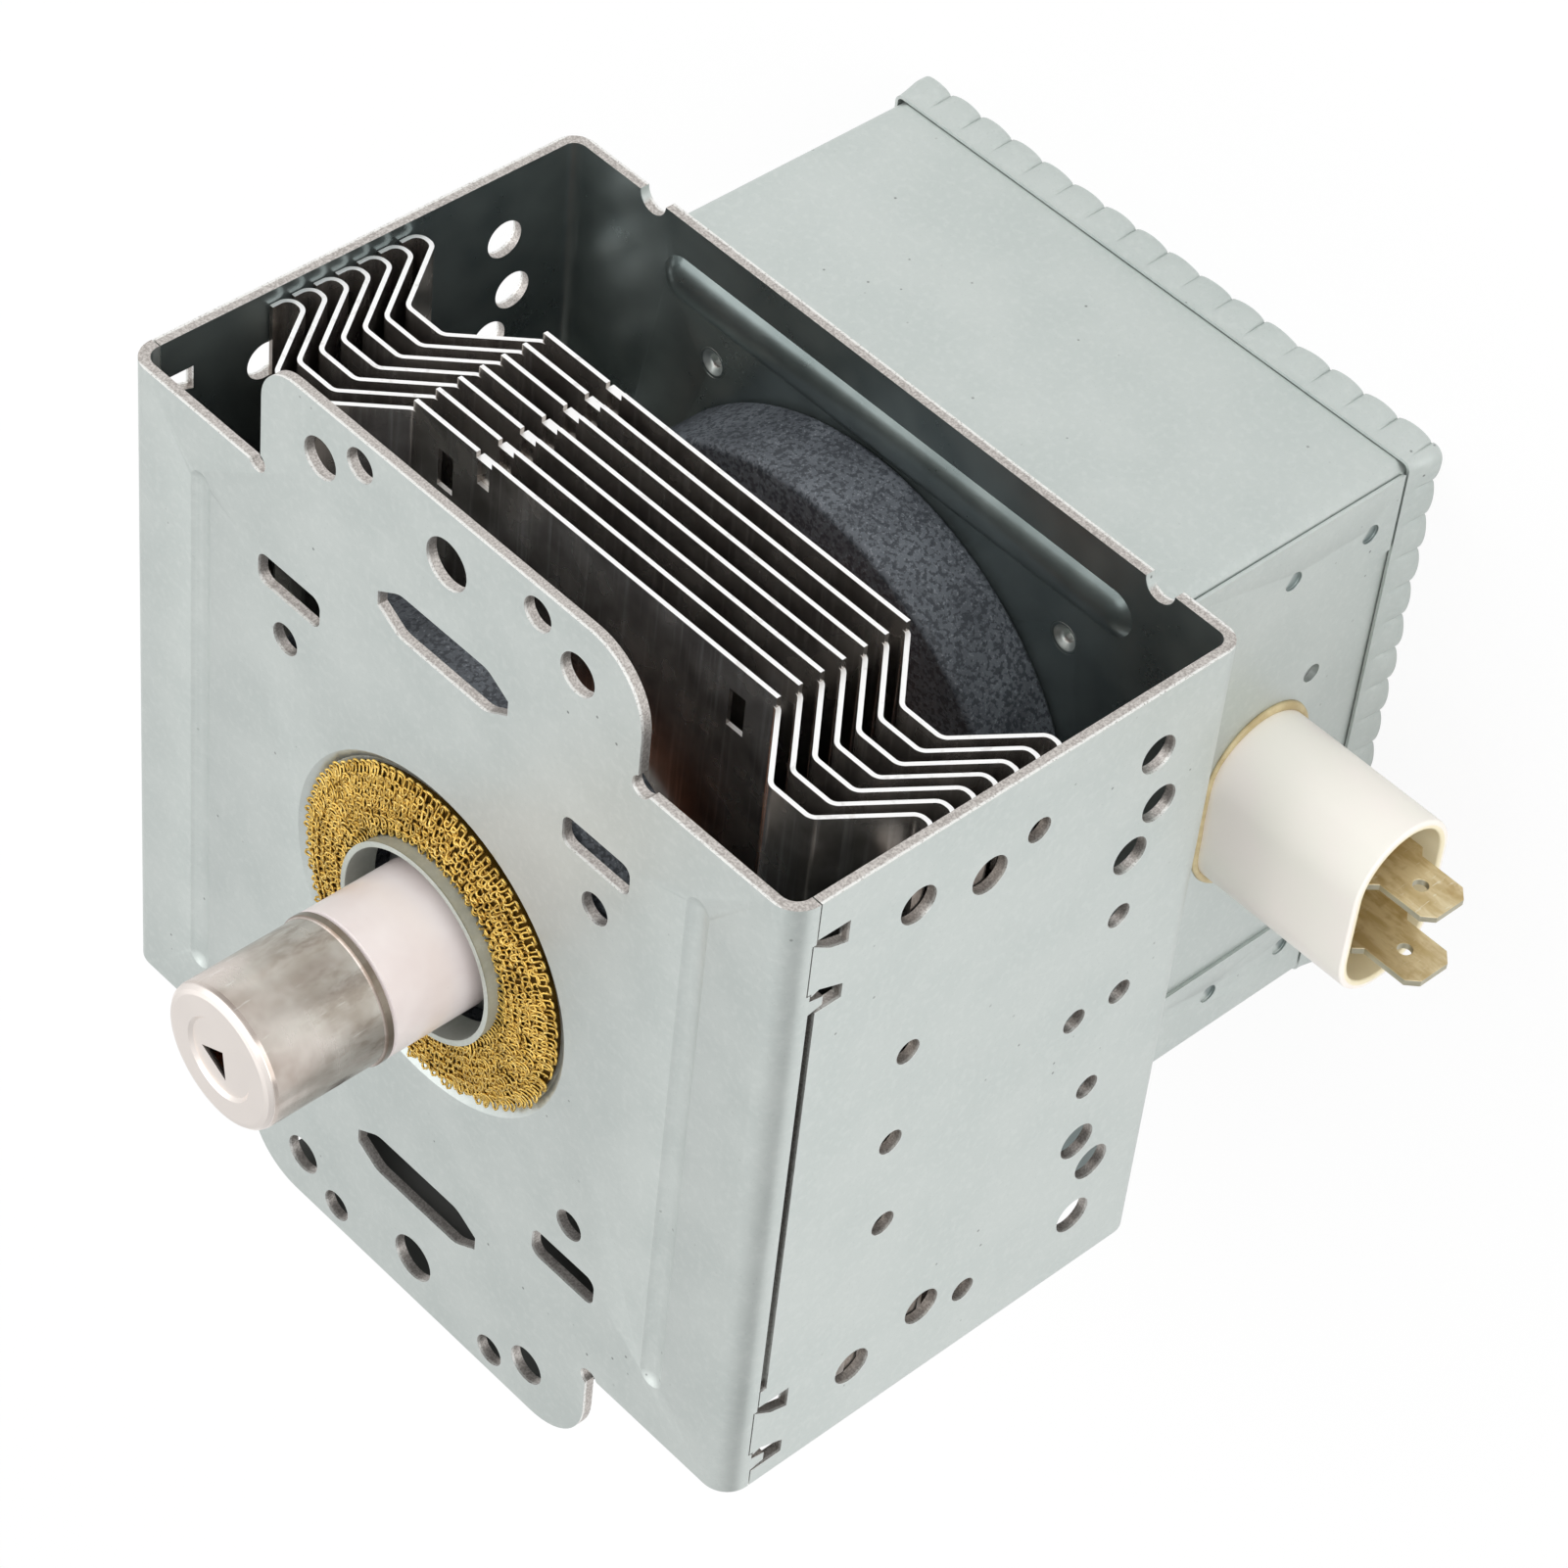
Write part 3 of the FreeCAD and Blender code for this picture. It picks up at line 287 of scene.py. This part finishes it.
def box_parts(f):
    """The filter's sheets show neither a cut nor a burr, but painted shade in the clinch marks of
    the
    strips of the terminal side: a dark half-moon in each of four, 29.6 mm to either side and 77
    and 88 mm deep."""
    x, y, z = f.along()
    across = y.size() - 29.6
    marks = None
    for depth in (77.0, 88.0):
        drop = z + depth
        reach = (across * across + drop * drop).root()
        # painted shade: the dark half of each clinch dent
        moon = reach.rise(1.25, 1.0) * (across * 0.6 + drop).rise(0.5, -0.2)
        marks = moon if marks is None else marks.most(moon)
    return 0.0, 0.0, marks * x.rise(35.9, 36.1)


def ferrite(name):
    """Sintered ferrite: dark blue-grey, with pale flecks, a dark web between them and black
    pores about a millimetre apart."""
    f = Finish(name)
    cloud = f.noise(7.0, 4.0, 0.6)
    speck = f.cells(0.95)
    fleck = f.noise(0.3, 2.0, 0.7)
    web = f.noise(0.55, 2.0, 0.6)
    tone = f.mix(cloud.rise(0.3, 0.7), srgb(76, 80, 86), srgb(102, 107, 113))
    tone = f.mix(fleck.rise(0.56, 0.68) * 0.6, tone, srgb(142, 147, 153))
    tone = f.mix(web.rise(0.52, 0.42) * 0.75, tone, srgb(42, 46, 52))
    tone = f.mix(speck.rise(0.22, 0.10) * 0.6, tone, srgb(38, 42, 50))
    height = fleck * 0.6 + web * 0.6
    return f.shade(Base_Color=tone, Metallic=0.0, Roughness=0.62 + (fleck - 0.5) * 0.25,
                   Normal=f.bump(height, 0.06, 0.8))


def fin_sheet(name):
    """Thin rolled aluminium: dull brown faces with pale streaks along Y, and bright white sheared
    edges where the sheet faces along Y."""
    f = Finish(name)
    streak = f.noise(0.7, 2.0, 0.6, (1.0, 30.0, 1.0))
    cloud = f.noise(6.0, 3.0)
    edge = f.facing()[1].rise(0.75, 0.9)
    face = f.mix(cloud.rise(0.3, 0.7), srgb(140, 132, 126), srgb(184, 177, 170))
    face = f.mix(streak.rise(0.5, 0.75) * 0.4, face, srgb(226, 221, 216))
    nick = f.noise(1.4, 2.0, 0.6).rise(0.60, 0.72)
    bright = f.mix(nick * 0.35, srgb(246, 246, 245), srgb(196, 192, 188))
    tone = f.mix(edge, face, bright)
    rough = 0.26 + (cloud - 0.5) * 0.2 + edge * 0.22
    return f.shade(Base_Color=tone, Metallic=0.9, Roughness=rough,
                   Normal=f.bump(streak, 0.01, 0.5))


def cap_steel(name):
    """Satin stainless steel, turned round the tube axis and scratched: stained brown towards its
    foot, pale on its end face, and dark along the bead at its foot."""
    f = Finish(name)
    z = f.along()[2]
    foot, end_face, bead = z.rise(22.5, 13.5), z.rise(24.9, 25.2), z.rise(11.9, 11.75)
    ring = f.noise(0.32, 2.0, 0.5, (60.0, 60.0, 1.0))
    cloud = f.noise(6.5, 3.0, 0.6)
    scratch = f.noise(0.6, 2.0, 0.7, (1.0, 1.0, 9.0)).rise(0.66, 0.74)
    stain = f.noise(2.6, 5.0, 0.7, (1.0, 1.0, 2.6))
    tone = f.mix(cloud.rise(0.3, 0.7), srgb(176, 163, 153), srgb(212, 203, 196))
    tone = f.mix(foot * stain.rise(0.45, 0.62) * 0.6, tone, srgb(150, 133, 121))
    tone = f.mix(scratch * 0.4, tone, srgb(235, 232, 226))
    tone = f.mix(end_face, tone, srgb(244, 236, 230))
    tone = f.mix(bead * 0.7, tone, srgb(116, 98, 82))
    rough = 0.24 + (ring - 0.5) * 0.12 + (cloud - 0.5) * 0.14 + end_face * 0.1
    return f.shade(Base_Color=tone, Metallic=1.0, Roughness=rough,
                   Normal=f.bump(ring + scratch * 0.4, 0.006, 0.5))


def tube_ceramic(name):
    """Fired alumina: white with a pink cast, close to smooth, slightly glossy, and darker and
    browner from 3 mm down towards its foot.
    """
    f = Finish(name)
    cloud = f.noise(8.0, 3.0)
    grain = f.noise(0.4, 2.0)
    z = f.along()[2]
    tone = f.mix(cloud.rise(0.3, 0.7), srgb(226, 214, 212), srgb(236, 227, 225))
    tone = f.mix(z.rise(3.0, -1.5) * 0.5, tone, srgb(196, 178, 174))
    return f.shade(Base_Color=tone, Roughness=0.30 + (grain - 0.5) * 0.1, Coat_Weight=0.25,
                   Normal=f.bump(grain, 0.006, 0.4))


def plain_metal(name, dark, pale, roughness, period=1.2, metallic=1.0):
    """A worn metal between two tones, with a fine grain."""
    f = Finish(name)
    cloud = f.noise(period * 6.0, 3.0)
    grain = f.noise(period * 0.3, 2.0, 0.6)
    tone = f.mix(cloud.rise(0.3, 0.7) * 0.7 + grain.rise(0.4, 0.7) * 0.3, dark, pale)
    return f.shade(Base_Color=tone, Metallic=metallic, Roughness=roughness + (grain - 0.5) * 0.2,
                   Normal=f.bump(grain, 0.01, 0.5))


def blade_metal(name):
    """Tarnished terminal stock: straw streaks along X, brown stains, grey edges, small scratches."""
    f = Finish(name)
    streak = f.noise(1.3, 3.0, 0.6, (3.5, 1.0, 1.0))
    stain = f.noise(2.6, 3.0, 0.6)
    scratch = f.noise(0.35, 2.0, 0.7, (1.0, 1.0, 6.0)).rise(0.64, 0.72)
    face = f.facing()[1]
    tone = f.mix(streak.rise(0.35, 0.65), srgb(196, 174, 128), srgb(222, 206, 168))
    tone = f.mix(stain.rise(0.52, 0.68) * 0.5, tone, srgb(172, 142, 88))
    tone = f.mix(scratch * 0.5, tone, srgb(232, 226, 206))
    tone = f.mix(face.rise(0.7, 0.4) * 0.7, tone, srgb(160, 162, 150))
    return f.shade(Base_Color=tone, Metallic=0.7, Roughness=0.36 + (stain - 0.5) * 0.25,
                   Normal=f.bump(streak, 0.02, 0.4))


def ivory_plastic(name):
    """Moulded ivory plastic: even, satin, faintly pink outside and yellower inside the sleeve,
    within about 6.2 mm of the middle line of its flat oval."""
    f = Finish(name)
    _, y, z = f.along()
    grain = f.noise(0.5, 2.0)
    cloud = f.noise(12.0, 2.0)
    past, drop = (y.size() - SLEEVE_STRAIGHT).most(0.0), z + SLEEVE_DEPTH
    inside = (past * past + drop * drop).root().rise(6.35, 6.1)
    tone = f.mix(cloud.rise(0.35, 0.65), srgb(243, 239, 230), srgb(246, 238, 232))
    tone = f.mix(inside, tone, srgb(238, 228, 196))
    return f.shade(Base_Color=tone, Roughness=0.36 + (grain - 0.5) * 0.1,
                   Normal=f.bump(grain, 0.008, 0.35))


def dull(name, dark, pale, roughness=0.6):
    """A plain unpolished surface between two tones."""
    f = Finish(name)
    cloud = f.noise(3.0, 4.0, 0.6)
    tone = f.mix(cloud.rise(0.3, 0.7), dark, pale)
    return f.shade(Base_Color=tone, Roughness=roughness + (cloud - 0.5) * 0.2,
                   Normal=f.bump(cloud, 0.02, 0.4))


def enamel_wire(name):
    """Copper under clear reddish enamel."""
    f = Finish(name)
    cloud = f.noise(4.0, 2.0)
    tone = f.mix(cloud.rise(0.3, 0.7), srgb(140, 74, 40), srgb(178, 100, 58))
    return f.shade(Base_Color=tone, Metallic=0.7, Roughness=0.25 + (cloud - 0.5) * 0.1,
                   Coat_Weight=0.6)


def brass_wire(name):
    """Drawn brass wire, gold with darker tarnish in patches, and small paler spots of painted glint.
    """
    f = Finish(name)
    tarnish = f.noise(2.2, 3.0, 0.6)
    painted_glint = f.noise(0.3, 2.0)
    tone = f.mix(tarnish.rise(0.35, 0.7), srgb(218, 182, 94), srgb(176, 140, 60))
    # painted highlight: paler spots for the glints on the loops
    tone = f.mix(painted_glint.rise(0.5, 0.7) * 0.5, tone, srgb(246, 228, 156))
    return f.shade(Base_Color=tone, Metallic=0.85, Roughness=0.26 + (painted_glint - 0.5) * 0.15)


# Pieces

def in_scene(name, data):
    """A new object with that data, linked to the scene."""
    thing = bpy.data.objects.new(name, data)
    bpy.context.scene.collection.objects.link(thing)
    return thing


def new_piece(name, points, faces, material):
    """A closed surface as an object of its own that rides on the one body."""
    mesh = bpy.data.meshes.new(name)
    mesh.from_pydata(points, [], faces)
    mesh.update()
    mesh.polygons.foreach_set("use_smooth", np.ones(len(mesh.polygons), bool))
    return dressed(name, mesh, material)


def dressed(name, mesh, material):
    """The mesh in that one material, as an object that rides on the one body."""
    mesh.materials.clear()
    mesh.materials.append(material)
    piece = in_scene(name, mesh)
    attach(piece, "root")
    return piece


def closed_quads(rings, sides, flip=False):
    """The faces of a sheet of points that closes on itself both from ring to ring and round each
    ring. Flip turns them over."""
    i, j = np.meshgrid(np.arange(rings), np.arange(sides), indexing="ij")
    after, on = (i + 1) % rings, (j + 1) % sides
    a, b, c, d = i * sides + j, i * sides + on, after * sides + on, after * sides + j
    return np.stack([a, d, c, b] if flip else [a, b, c, d], axis=-1).reshape(-1, 4)


def tube_along(path, radius, sides=5):
    """A closed loop of wire. Round each of the path's points stands a ring of the given sides:
    point + radius (cos a u + sin a v), where u and v are square to the local direction."""
    ahead = np.roll(path, -1, axis=0) - np.roll(path, 1, axis=0)
    ahead /= np.linalg.norm(ahead, axis=1, keepdims=True)
    up = np.array([0.0, 0.0, 1.0])
    u = np.cross(ahead, up)
    u /= np.linalg.norm(u, axis=1, keepdims=True)
    v = np.cross(u, ahead)
    angle = (np.arange(sides) * 2 * math.pi / sides)[None, :, None]
    ring = np.cos(angle) * u[:, None, :] + np.sin(angle) * v[:, None, :]
    points = (path[:, None, :] + radius * ring).reshape(-1, 3)
    return points, closed_quads(len(path), sides)


def knitted_gasket(material):
    """Two layers of courses of looped wire, laid over the gasket's pad. Along a course of n
    stitches the angle is (t + 0.85 sin 2t) / n, the radius swings by 0.8 cos t mm about the
    course's own, and the height by 0.16 cos 2t mm about the layer's lift over the pad's top,
    0.1 - 0.45 u + 0.5 (4 u (1 - u)) ^ 0.7 mm where u runs from the collar to the outer edge, so
    that each loop passes under the next. From stitch to stitch the loops sway and lean at random,
    but not where a course closes."""
    inner, outer = 11.0, 18.5
    first, span = inner + 0.6, outer - inner - 1.0
    stitch, per_stitch, calm = 1.25, 12, 12.0
    layers = ((7, 0.2, 0.135), (6, -0.03, 0.125))    # courses, lift, wire radius
    last_course = layers[0][0] - 1
    rng = np.random.default_rng(7)
    points, faces, start = [], [], 0
    for layer, (courses, lift, wire) in enumerate(layers):
        for k in range(courses):
            radius = first + span * (k + 0.5 * layer) / last_course
            n = int(round(2 * math.pi * radius / stitch))
            t = np.arange(n * per_stitch) * 2 * math.pi / per_stitch
            sway = np.interp(t, np.linspace(0, t[-1], n), rng.normal(0, 1, n))
            lean = np.interp(t, np.linspace(0, t[-1], n), rng.normal(0, 1, n))
            fade = np.minimum(1.0, np.minimum(t, t[-1] - t) / calm)
            angle = (t + 0.85 * np.sin(2 * t)) / n + 0.014 * lean * fade + 0.8 * k + layer
            r = radius + 0.8 * np.cos(t) * (1 + 0.2 * sway * fade) + 0.1 * lean * fade
            u = np.clip((r - inner) / (outer - inner), 0, 1)
            top = 0.1 - 0.45 * u + 0.5 * (4 * u * (1 - u)) ** 0.7
            z = top + lift + 0.16 * np.cos(2 * t) + 0.1 * sway * fade
            path = np.stack([r * np.cos(angle), r * np.sin(angle), z], axis=1) * MM
            p, q = tube_along(path, wire * MM)
            points.append(p)
            faces.append(q + start)
            start += len(p)
    return new_piece("knitted_gasket", np.concatenate(points), np.concatenate(faces).tolist(),
                     material)


def square_line(half, corner, count):
    """Points and outward directions along a square of that half width with rounded corners, in
    count equal steps: four straight runs, each followed by a quarter turn."""
    run, bend = 2 * (half - corner), corner * math.pi / 2
    s = np.arange(count) * (run + bend) * 4 / count
    side = (s // (run + bend)).astype(int)
    along = s - side * (run + bend)
    turn = np.clip((along - run) / corner, 0, None)
    x = -half + corner + np.minimum(along, run) + corner * np.sin(turn)
    y = -half + corner - corner * np.cos(turn)
    nx, ny = np.sin(turn), -np.cos(turn)
    c, q = np.cos(side * math.pi / 2), np.sin(side * math.pi / 2)
    line = np.stack([x * c - y * q, x * q + y * c], axis=1)
    out = np.stack([nx * c - ny * q, nx * q + ny * c], axis=1)
    return s, line, out


def crimped_lid(material):
    """The lid's skirt and its sunken plate. The skirt's outer face stands at the square line plus
    0.65 fade |sin(pi s / pitch)| ^ 0.5 mm, unevenly from pleat to pleat, where fade grows from 0
    near the front edge to 1 well before the rim. Its inner face lies one wall inside, and the
    plate's two faces lie at the box's end and one box sheet beyond it."""
    low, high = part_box("filter_lid")
    z_rim, z_front = low[2] / MM, high[2] / MM
    half, corner, wall_mm, box_sheet = 36.1, 1.0, 0.35, 0.8
    count, rows, pleats, plate_count = 1536, 12, 64, 64
    s, line, out = square_line(half + wall_mm, corner, count)
    pitch = s[-1] * count / (count - 1) / pleats
    v = np.linspace(0, 1, rows)[:, None]
    fade = np.clip((v - 0.12) / 0.6, 0, 1)
    rng = np.random.default_rng(3)
    uneven = 1 + 0.15 * np.interp(s / pitch, np.arange(pleats + 1), rng.normal(0, 1, pleats + 1))
    swell = 0.65 * fade * np.abs(np.sin(math.pi * s / pitch)) ** 0.5 * uneven
    z = np.broadcast_to(z_front + (z_rim - z_front) * v, swell.shape)

    def wall(inset):
        spot = line[None] + out[None] * (swell - inset)[..., None]
        return np.concatenate([spot, z[..., None]], axis=2)

    outer, inner = wall(0.0), wall(wall_mm)
    sheet = np.concatenate([outer, inner[::-1]], axis=0)
    faces = closed_quads(len(sheet), count, flip=True).tolist()
    points = sheet.reshape(-1, 3)
    _, rim, _ = square_line(half, corner, plate_count)
    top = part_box("filter_box")[0][2] / MM
    plate = np.concatenate([np.column_stack([rim, np.full(plate_count, level)])
                            for level in (top, top - box_sheet)])
    upper = len(points) + np.arange(plate_count)
    lower = upper + plate_count
    faces.append(upper.tolist())
    faces.append(lower[::-1].tolist())
    faces += np.stack([upper, lower, np.roll(lower, -1), np.roll(upper, -1)], 1).tolist()
    lid = new_piece("crimped_lid", np.concatenate([points, plate]) * MM, faces, material)
    lid.data.set_sharp_from_angle(angle=math.radians(40))
    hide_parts("filter_lid")
    return lid


def sleeve_bead(material):
    """The tan bead of cement round the sleeve's root, on the box's side: about a half round that
    follows the sleeve's flat oval. A point's place is the oval's own plus 0.3 + 0.5 cos a mm
    outwards and 0.45 sin a mm along X, with slow lumps along the way."""
    low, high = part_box("terminal_sleeve")
    middle = (low[2] + high[2]) / 2 / MM
    radius, box_side = 6.8, 36.0
    around, across, lump_count = 120, 7, 12
    t = np.arange(around) * 2 * math.pi / around
    y = radius * np.sin(t) + SLEEVE_STRAIGHT * np.tanh(8 * np.sin(t))
    z = radius * np.cos(t)
    path = np.stack([y, z], axis=1)
    out = np.stack([np.sin(t), np.cos(t)], axis=1)
    a = np.linspace(0, math.pi, across)
    rng = np.random.default_rng(5)
    lump_places = np.linspace(0, 2 * math.pi, lump_count + 1)
    lumps = 1 + 0.2 * np.interp(t, lump_places, np.append(rng.normal(0, 1, lump_count), 0))
    reach = (0.5 * np.cos(a))[None, :] * lumps[:, None]
    height = (0.45 * np.sin(a))[None, :] * lumps[:, None]
    ring = path[:, None, :] + out[:, None, :] * (0.3 + reach[..., None])
    x = box_side + height
    points = np.concatenate([x[..., None], ring[..., :1], ring[..., 1:] + middle], axis=2)
    faces = closed_quads(around, across, flip=True).tolist()
    return new_piece("sleeve_bead", points.reshape(-1, 3) * MM, faces, material)


def eased(name, width_mm, material):
    """The node's own surface with its sharp edges rounded: doubles merged, flat areas joined,
    and a bevel of that width along every edge sharper than 32 degrees."""
    sharp = math.radians(32)
    shape = bmesh.new()
    shape.from_mesh(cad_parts[name].data)
    bmesh.ops.remove_doubles(shape, verts=shape.verts, dist=2e-6)
    bmesh.ops.dissolve_limit(shape, angle_limit=math.radians(0.6), verts=shape.verts,
                             edges=shape.edges)
    mesh = bpy.data.meshes.new(name + "_eased")
    shape.to_mesh(mesh)
    shape.free()
    mesh.polygons.foreach_set("use_smooth", np.ones(len(mesh.polygons), bool))
    mesh.set_sharp_from_angle(angle=sharp)
    piece = dressed(name + "_eased", mesh, material)
    bevel = piece.modifiers.new("edges", "BEVEL")
    bevel.width = width_mm * MM
    bevel.segments = 2
    bevel.limit_method = "ANGLE"
    bevel.angle_limit = sharp
    bevel.use_clamp_overlap = True
    bevel.harden_normals = True
    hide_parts(name)
    return piece


plate_zinc = zinc_steel("zinc_plate", plate_parts)
yoke_zinc = zinc_steel("zinc_yoke", yoke_parts)
box_zinc = zinc_steel("zinc_box", box_parts)
dark_ferrite = ferrite("ferrite")
fin_metal = fin_sheet("fin_aluminium")
cap_metal = cap_steel("cap_steel")
alumina = tube_ceramic("tube_ceramic")
copper = plain_metal("copper", srgb(176, 108, 78), srgb(214, 150, 118), 0.32)
iron = plain_metal("soft_iron", srgb(128, 128, 130), srgb(160, 160, 162), 0.42)
tungsten = plain_metal("refractory", srgb(98, 98, 102), srgb(132, 132, 136), 0.5)
seal_metal = plain_metal("seal_steel", srgb(150, 150, 150), srgb(186, 186, 184), 0.35)
collar_metal = plain_metal("collar_steel", srgb(168, 173, 164), srgb(192, 197, 190), 0.45,
                           metallic=0.35)
# painted shade: the pad under the knitted loops is dark brown for the shade in the gaps between them
pad_in_painted_shade = plain_metal("gasket_pad", srgb(58, 41, 12), srgb(94, 70, 24), 0.7, period=0.5)
knit_brass = brass_wire("gasket_brass")
ivory = ivory_plastic("ivory_plastic")
blades = blade_metal("terminal_brass")
resin = dull("potting", srgb(196, 190, 170), srgb(214, 208, 190))
cement = dull("cement", srgb(176, 156, 112), srgb(208, 192, 150), 0.45)
enamel = enamel_wire("enamel_wire")

# Each node that gets rounded edges, with their width in millimetres, its finish and its slot.
EASED = {"front_plate": (0.16, plate_zinc, "zinc_steel"),
         "yoke_frame": (0.16, yoke_zinc, "zinc_steel"),
         "filter_box": (0.12, box_zinc, "zinc_steel"),
         "box_side_strips": (0.12, box_zinc, "zinc_steel"),
         "magnet_rear": (0.3, dark_ferrite, "ferrite"),
         "magnet_front": (0.3, dark_ferrite, "ferrite"),
         "terminal_sleeve": (0.3, ivory, "ivory_plastic"),
         "terminal_tab_upper": (0.1, blades, "terminal_brass"),
         "terminal_tab_lower": (0.1, blades, "terminal_brass"),
         "box_rivets": (0.12, yoke_zinc, "zinc_steel"),
         "gasket_collar": (0.1, collar_metal, "zinc_steel")}
for node, (width, material, slot) in EASED.items():
    eased(node, width, material)

knitted_gasket(knit_brass)
crimped_lid(box_zinc)
sleeve_bead(cement)

# The finish of each node that keeps its CAD surface.
KEPT = {"anode_cylinder": copper, "anode_vanes": copper, "strap_ring_front": copper,
        "strap_ring_rear": copper, "pole_piece_front": iron, "pole_piece_rear": iron,
        "filament_coil": tungsten, "cathode_hat_front": tungsten, "cathode_hat_rear": tungsten,
        "cathode_centre_lead": tungsten, "cathode_side_lead": tungsten,
        "front_seal_cup": seal_metal, "rear_seal_cup": seal_metal, "stem_pins": seal_metal,
        "antenna_ceramic": alumina, "stem_ceramic": alumina, "exhaust_tube": copper,
        "antenna_lead": copper, "antenna_cap": cap_metal, "gasket_mesh": pad_in_painted_shade,
        "capacitor_flange": seal_metal, "capacitor_body": resin,
        "choke_core_upper": dark_ferrite, "choke_core_lower": dark_ferrite,
        "choke_coil_upper": enamel, "choke_coil_lower": enamel,
        "choke_leads_upper": enamel, "choke_leads_lower": enamel}
for k in range(1, 8):
    KEPT["cooling_fin_%d" % k] = fin_metal
for node, material in KEPT.items():
    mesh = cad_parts[node].data
    for index in range(max(1, len(mesh.materials))):
        if index < len(mesh.materials):
            mesh.materials[index] = material
        else:
            mesh.materials.append(material)


# Studio

def floor_sheet(z, half):
    """A flat square floor at height z: nearly white to the camera, dimmer in reflections, and a
    pale grey that takes shadows in its own light."""
    f = Finish("floor")
    mesh = bpy.data.meshes.new("floor")
    mesh.from_pydata([(-half, -half, z), (half, -half, z), (half, half, z), (-half, half, z)],
                     [], [(0, 1, 2, 3)])
    floor = in_scene("floor", mesh)
    grey = f.add("ShaderNodeBsdfDiffuse", {}, (0.86, 0.86, 0.86, 1.0))
    white = f.add("ShaderNodeEmission", {}, (1.0, 1.0, 1.0, 1.0), 1.0)
    seen = f.add("ShaderNodeLightPath", {}, output="Is Camera Ray")
    glossy = f.add("ShaderNodeLightPath", {}, output="Is Glossy Ray")
    through = f.add("ShaderNodeLightPath", {}, output="Is Transmission Ray")
    f.blend((seen * 0.9).most(glossy.most(through) * 0.36), grey, white)
    mesh.materials.append(f.material)


def table_shade(name, z_near, z_far, x_low, x_high, y):
    """A small dark card tucked under the mounting tongue, for the table's shade that shows through
    the lower holes: dark from above, and clear to whatever looks at it from below."""
    f = Finish(name)
    mesh = bpy.data.meshes.new(name)
    corners = [(x_low, y, z_near), (x_high, y, z_near), (x_high, y, z_far), (x_low, y, z_far)]
    mesh.from_pydata([tuple(v * MM for v in corner) for corner in corners], [], [(0, 1, 2, 3)])
    card = in_scene(name, mesh)
    dark = f.add("ShaderNodeBsdfDiffuse", {}, (*srgb(104, 105, 103), 1.0))
    clear = f.add("ShaderNodeBsdfTransparent", {})
    from_below = f.add("ShaderNodeNewGeometry", {}, output="Backfacing")
    f.blend(from_below, dark, clear)
    mesh.materials.append(f.material)


def softbox(name, place, width, power):
    """A square light at that place, turned to the middle of the part."""
    light = bpy.data.lights.new(name, "AREA")
    light.shape = "RECTANGLE"
    light.size, light.size_y = width, width
    light.energy = power
    lamp = in_scene(name, light)
    place, aim = Vector(place), Vector((0, 0, -0.03))
    turn = (aim - place).to_track_quat("-Z", "Y").to_matrix().to_4x4()
    lamp.matrix_world = Matrix.Translation(place) @ turn


def studio_world():
    """Soft surroundings: white to the camera itself, and for all other light a grey that grows
    paler towards three sides. Each side has its direction, the two dot products with it between
    which the grey rises, and how much it rises by."""
    sides = (((0.45, 0.62, 0.64), -0.3, 0.8, 0.50),
             ((-0.80, 0.10, 0.59), 0.6, 0.95, 0.25),
             ((-0.50, -0.74, 0.45), 0.3, 0.9, 0.4))
    world = bpy.data.worlds.new("studio")
    world.use_nodes = True
    bpy.context.scene.world = world
    f = Finish("studio", world.node_tree)
    spot = f.add("ShaderNodeTexCoord", {}, output="Generated")
    level = 0.34
    for direction, low, high, gain in sides:
        toward = f.add("ShaderNodeVectorMath", {"operation": "DOT_PRODUCT"}, spot, direction,
                       output="Value")
        level = level + toward.rise(low, high) * gain
    level = level.most(f.add("ShaderNodeLightPath", {}, output="Is Camera Ray"))
    f.end(f.add("ShaderNodeBackground", {}, (1.0, 1.0, 1.0, 1.0), level), "ShaderNodeOutputWorld")


def photo_camera():
    """The camera that the photograph's edges and holes give, as position, right and down axes."""
    data = bpy.data.cameras.new("photo")
    data.sensor_width = 36.0
    data.lens = 118.17
    data.clip_start, data.clip_end = 0.01, 20.0
    camera = in_scene("photo", data)
    right = Vector((0.6751, 0.0819, -0.7332)).normalized()
    down = Vector((0.5617, -0.7013, 0.4389)).normalized()
    back = right.cross(-down).normalized()
    turn = Matrix((right, -down, back)).transposed()
    camera.matrix_world = Matrix.Translation((0.2518, 0.3638, 0.2258)) @ turn.to_4x4()
    bpy.context.scene.camera = camera


bpy.context.scene.view_settings.view_transform = "Standard"
floor_sheet(cad_box[0][2], half=4.0)
table_shade("table_shade_tip", z_near=-1.6, z_far=-8.5, x_low=-24.0, x_high=20.0, y=-55.3)
table_shade("table_shade_root", z_near=-1.6, z_far=-15.5, x_low=-32.0, x_high=22.0, y=-43.0)
studio_world()
softbox("key", (-0.25, 0.75, 0.95), width=1.9, power=8.8)
softbox("side", (0.95, 0.35, 0.25), width=1.1, power=5.0)
softbox("front", (-0.45, 0.05, 1.05), width=1.8, power=2.8)
photo_camera()
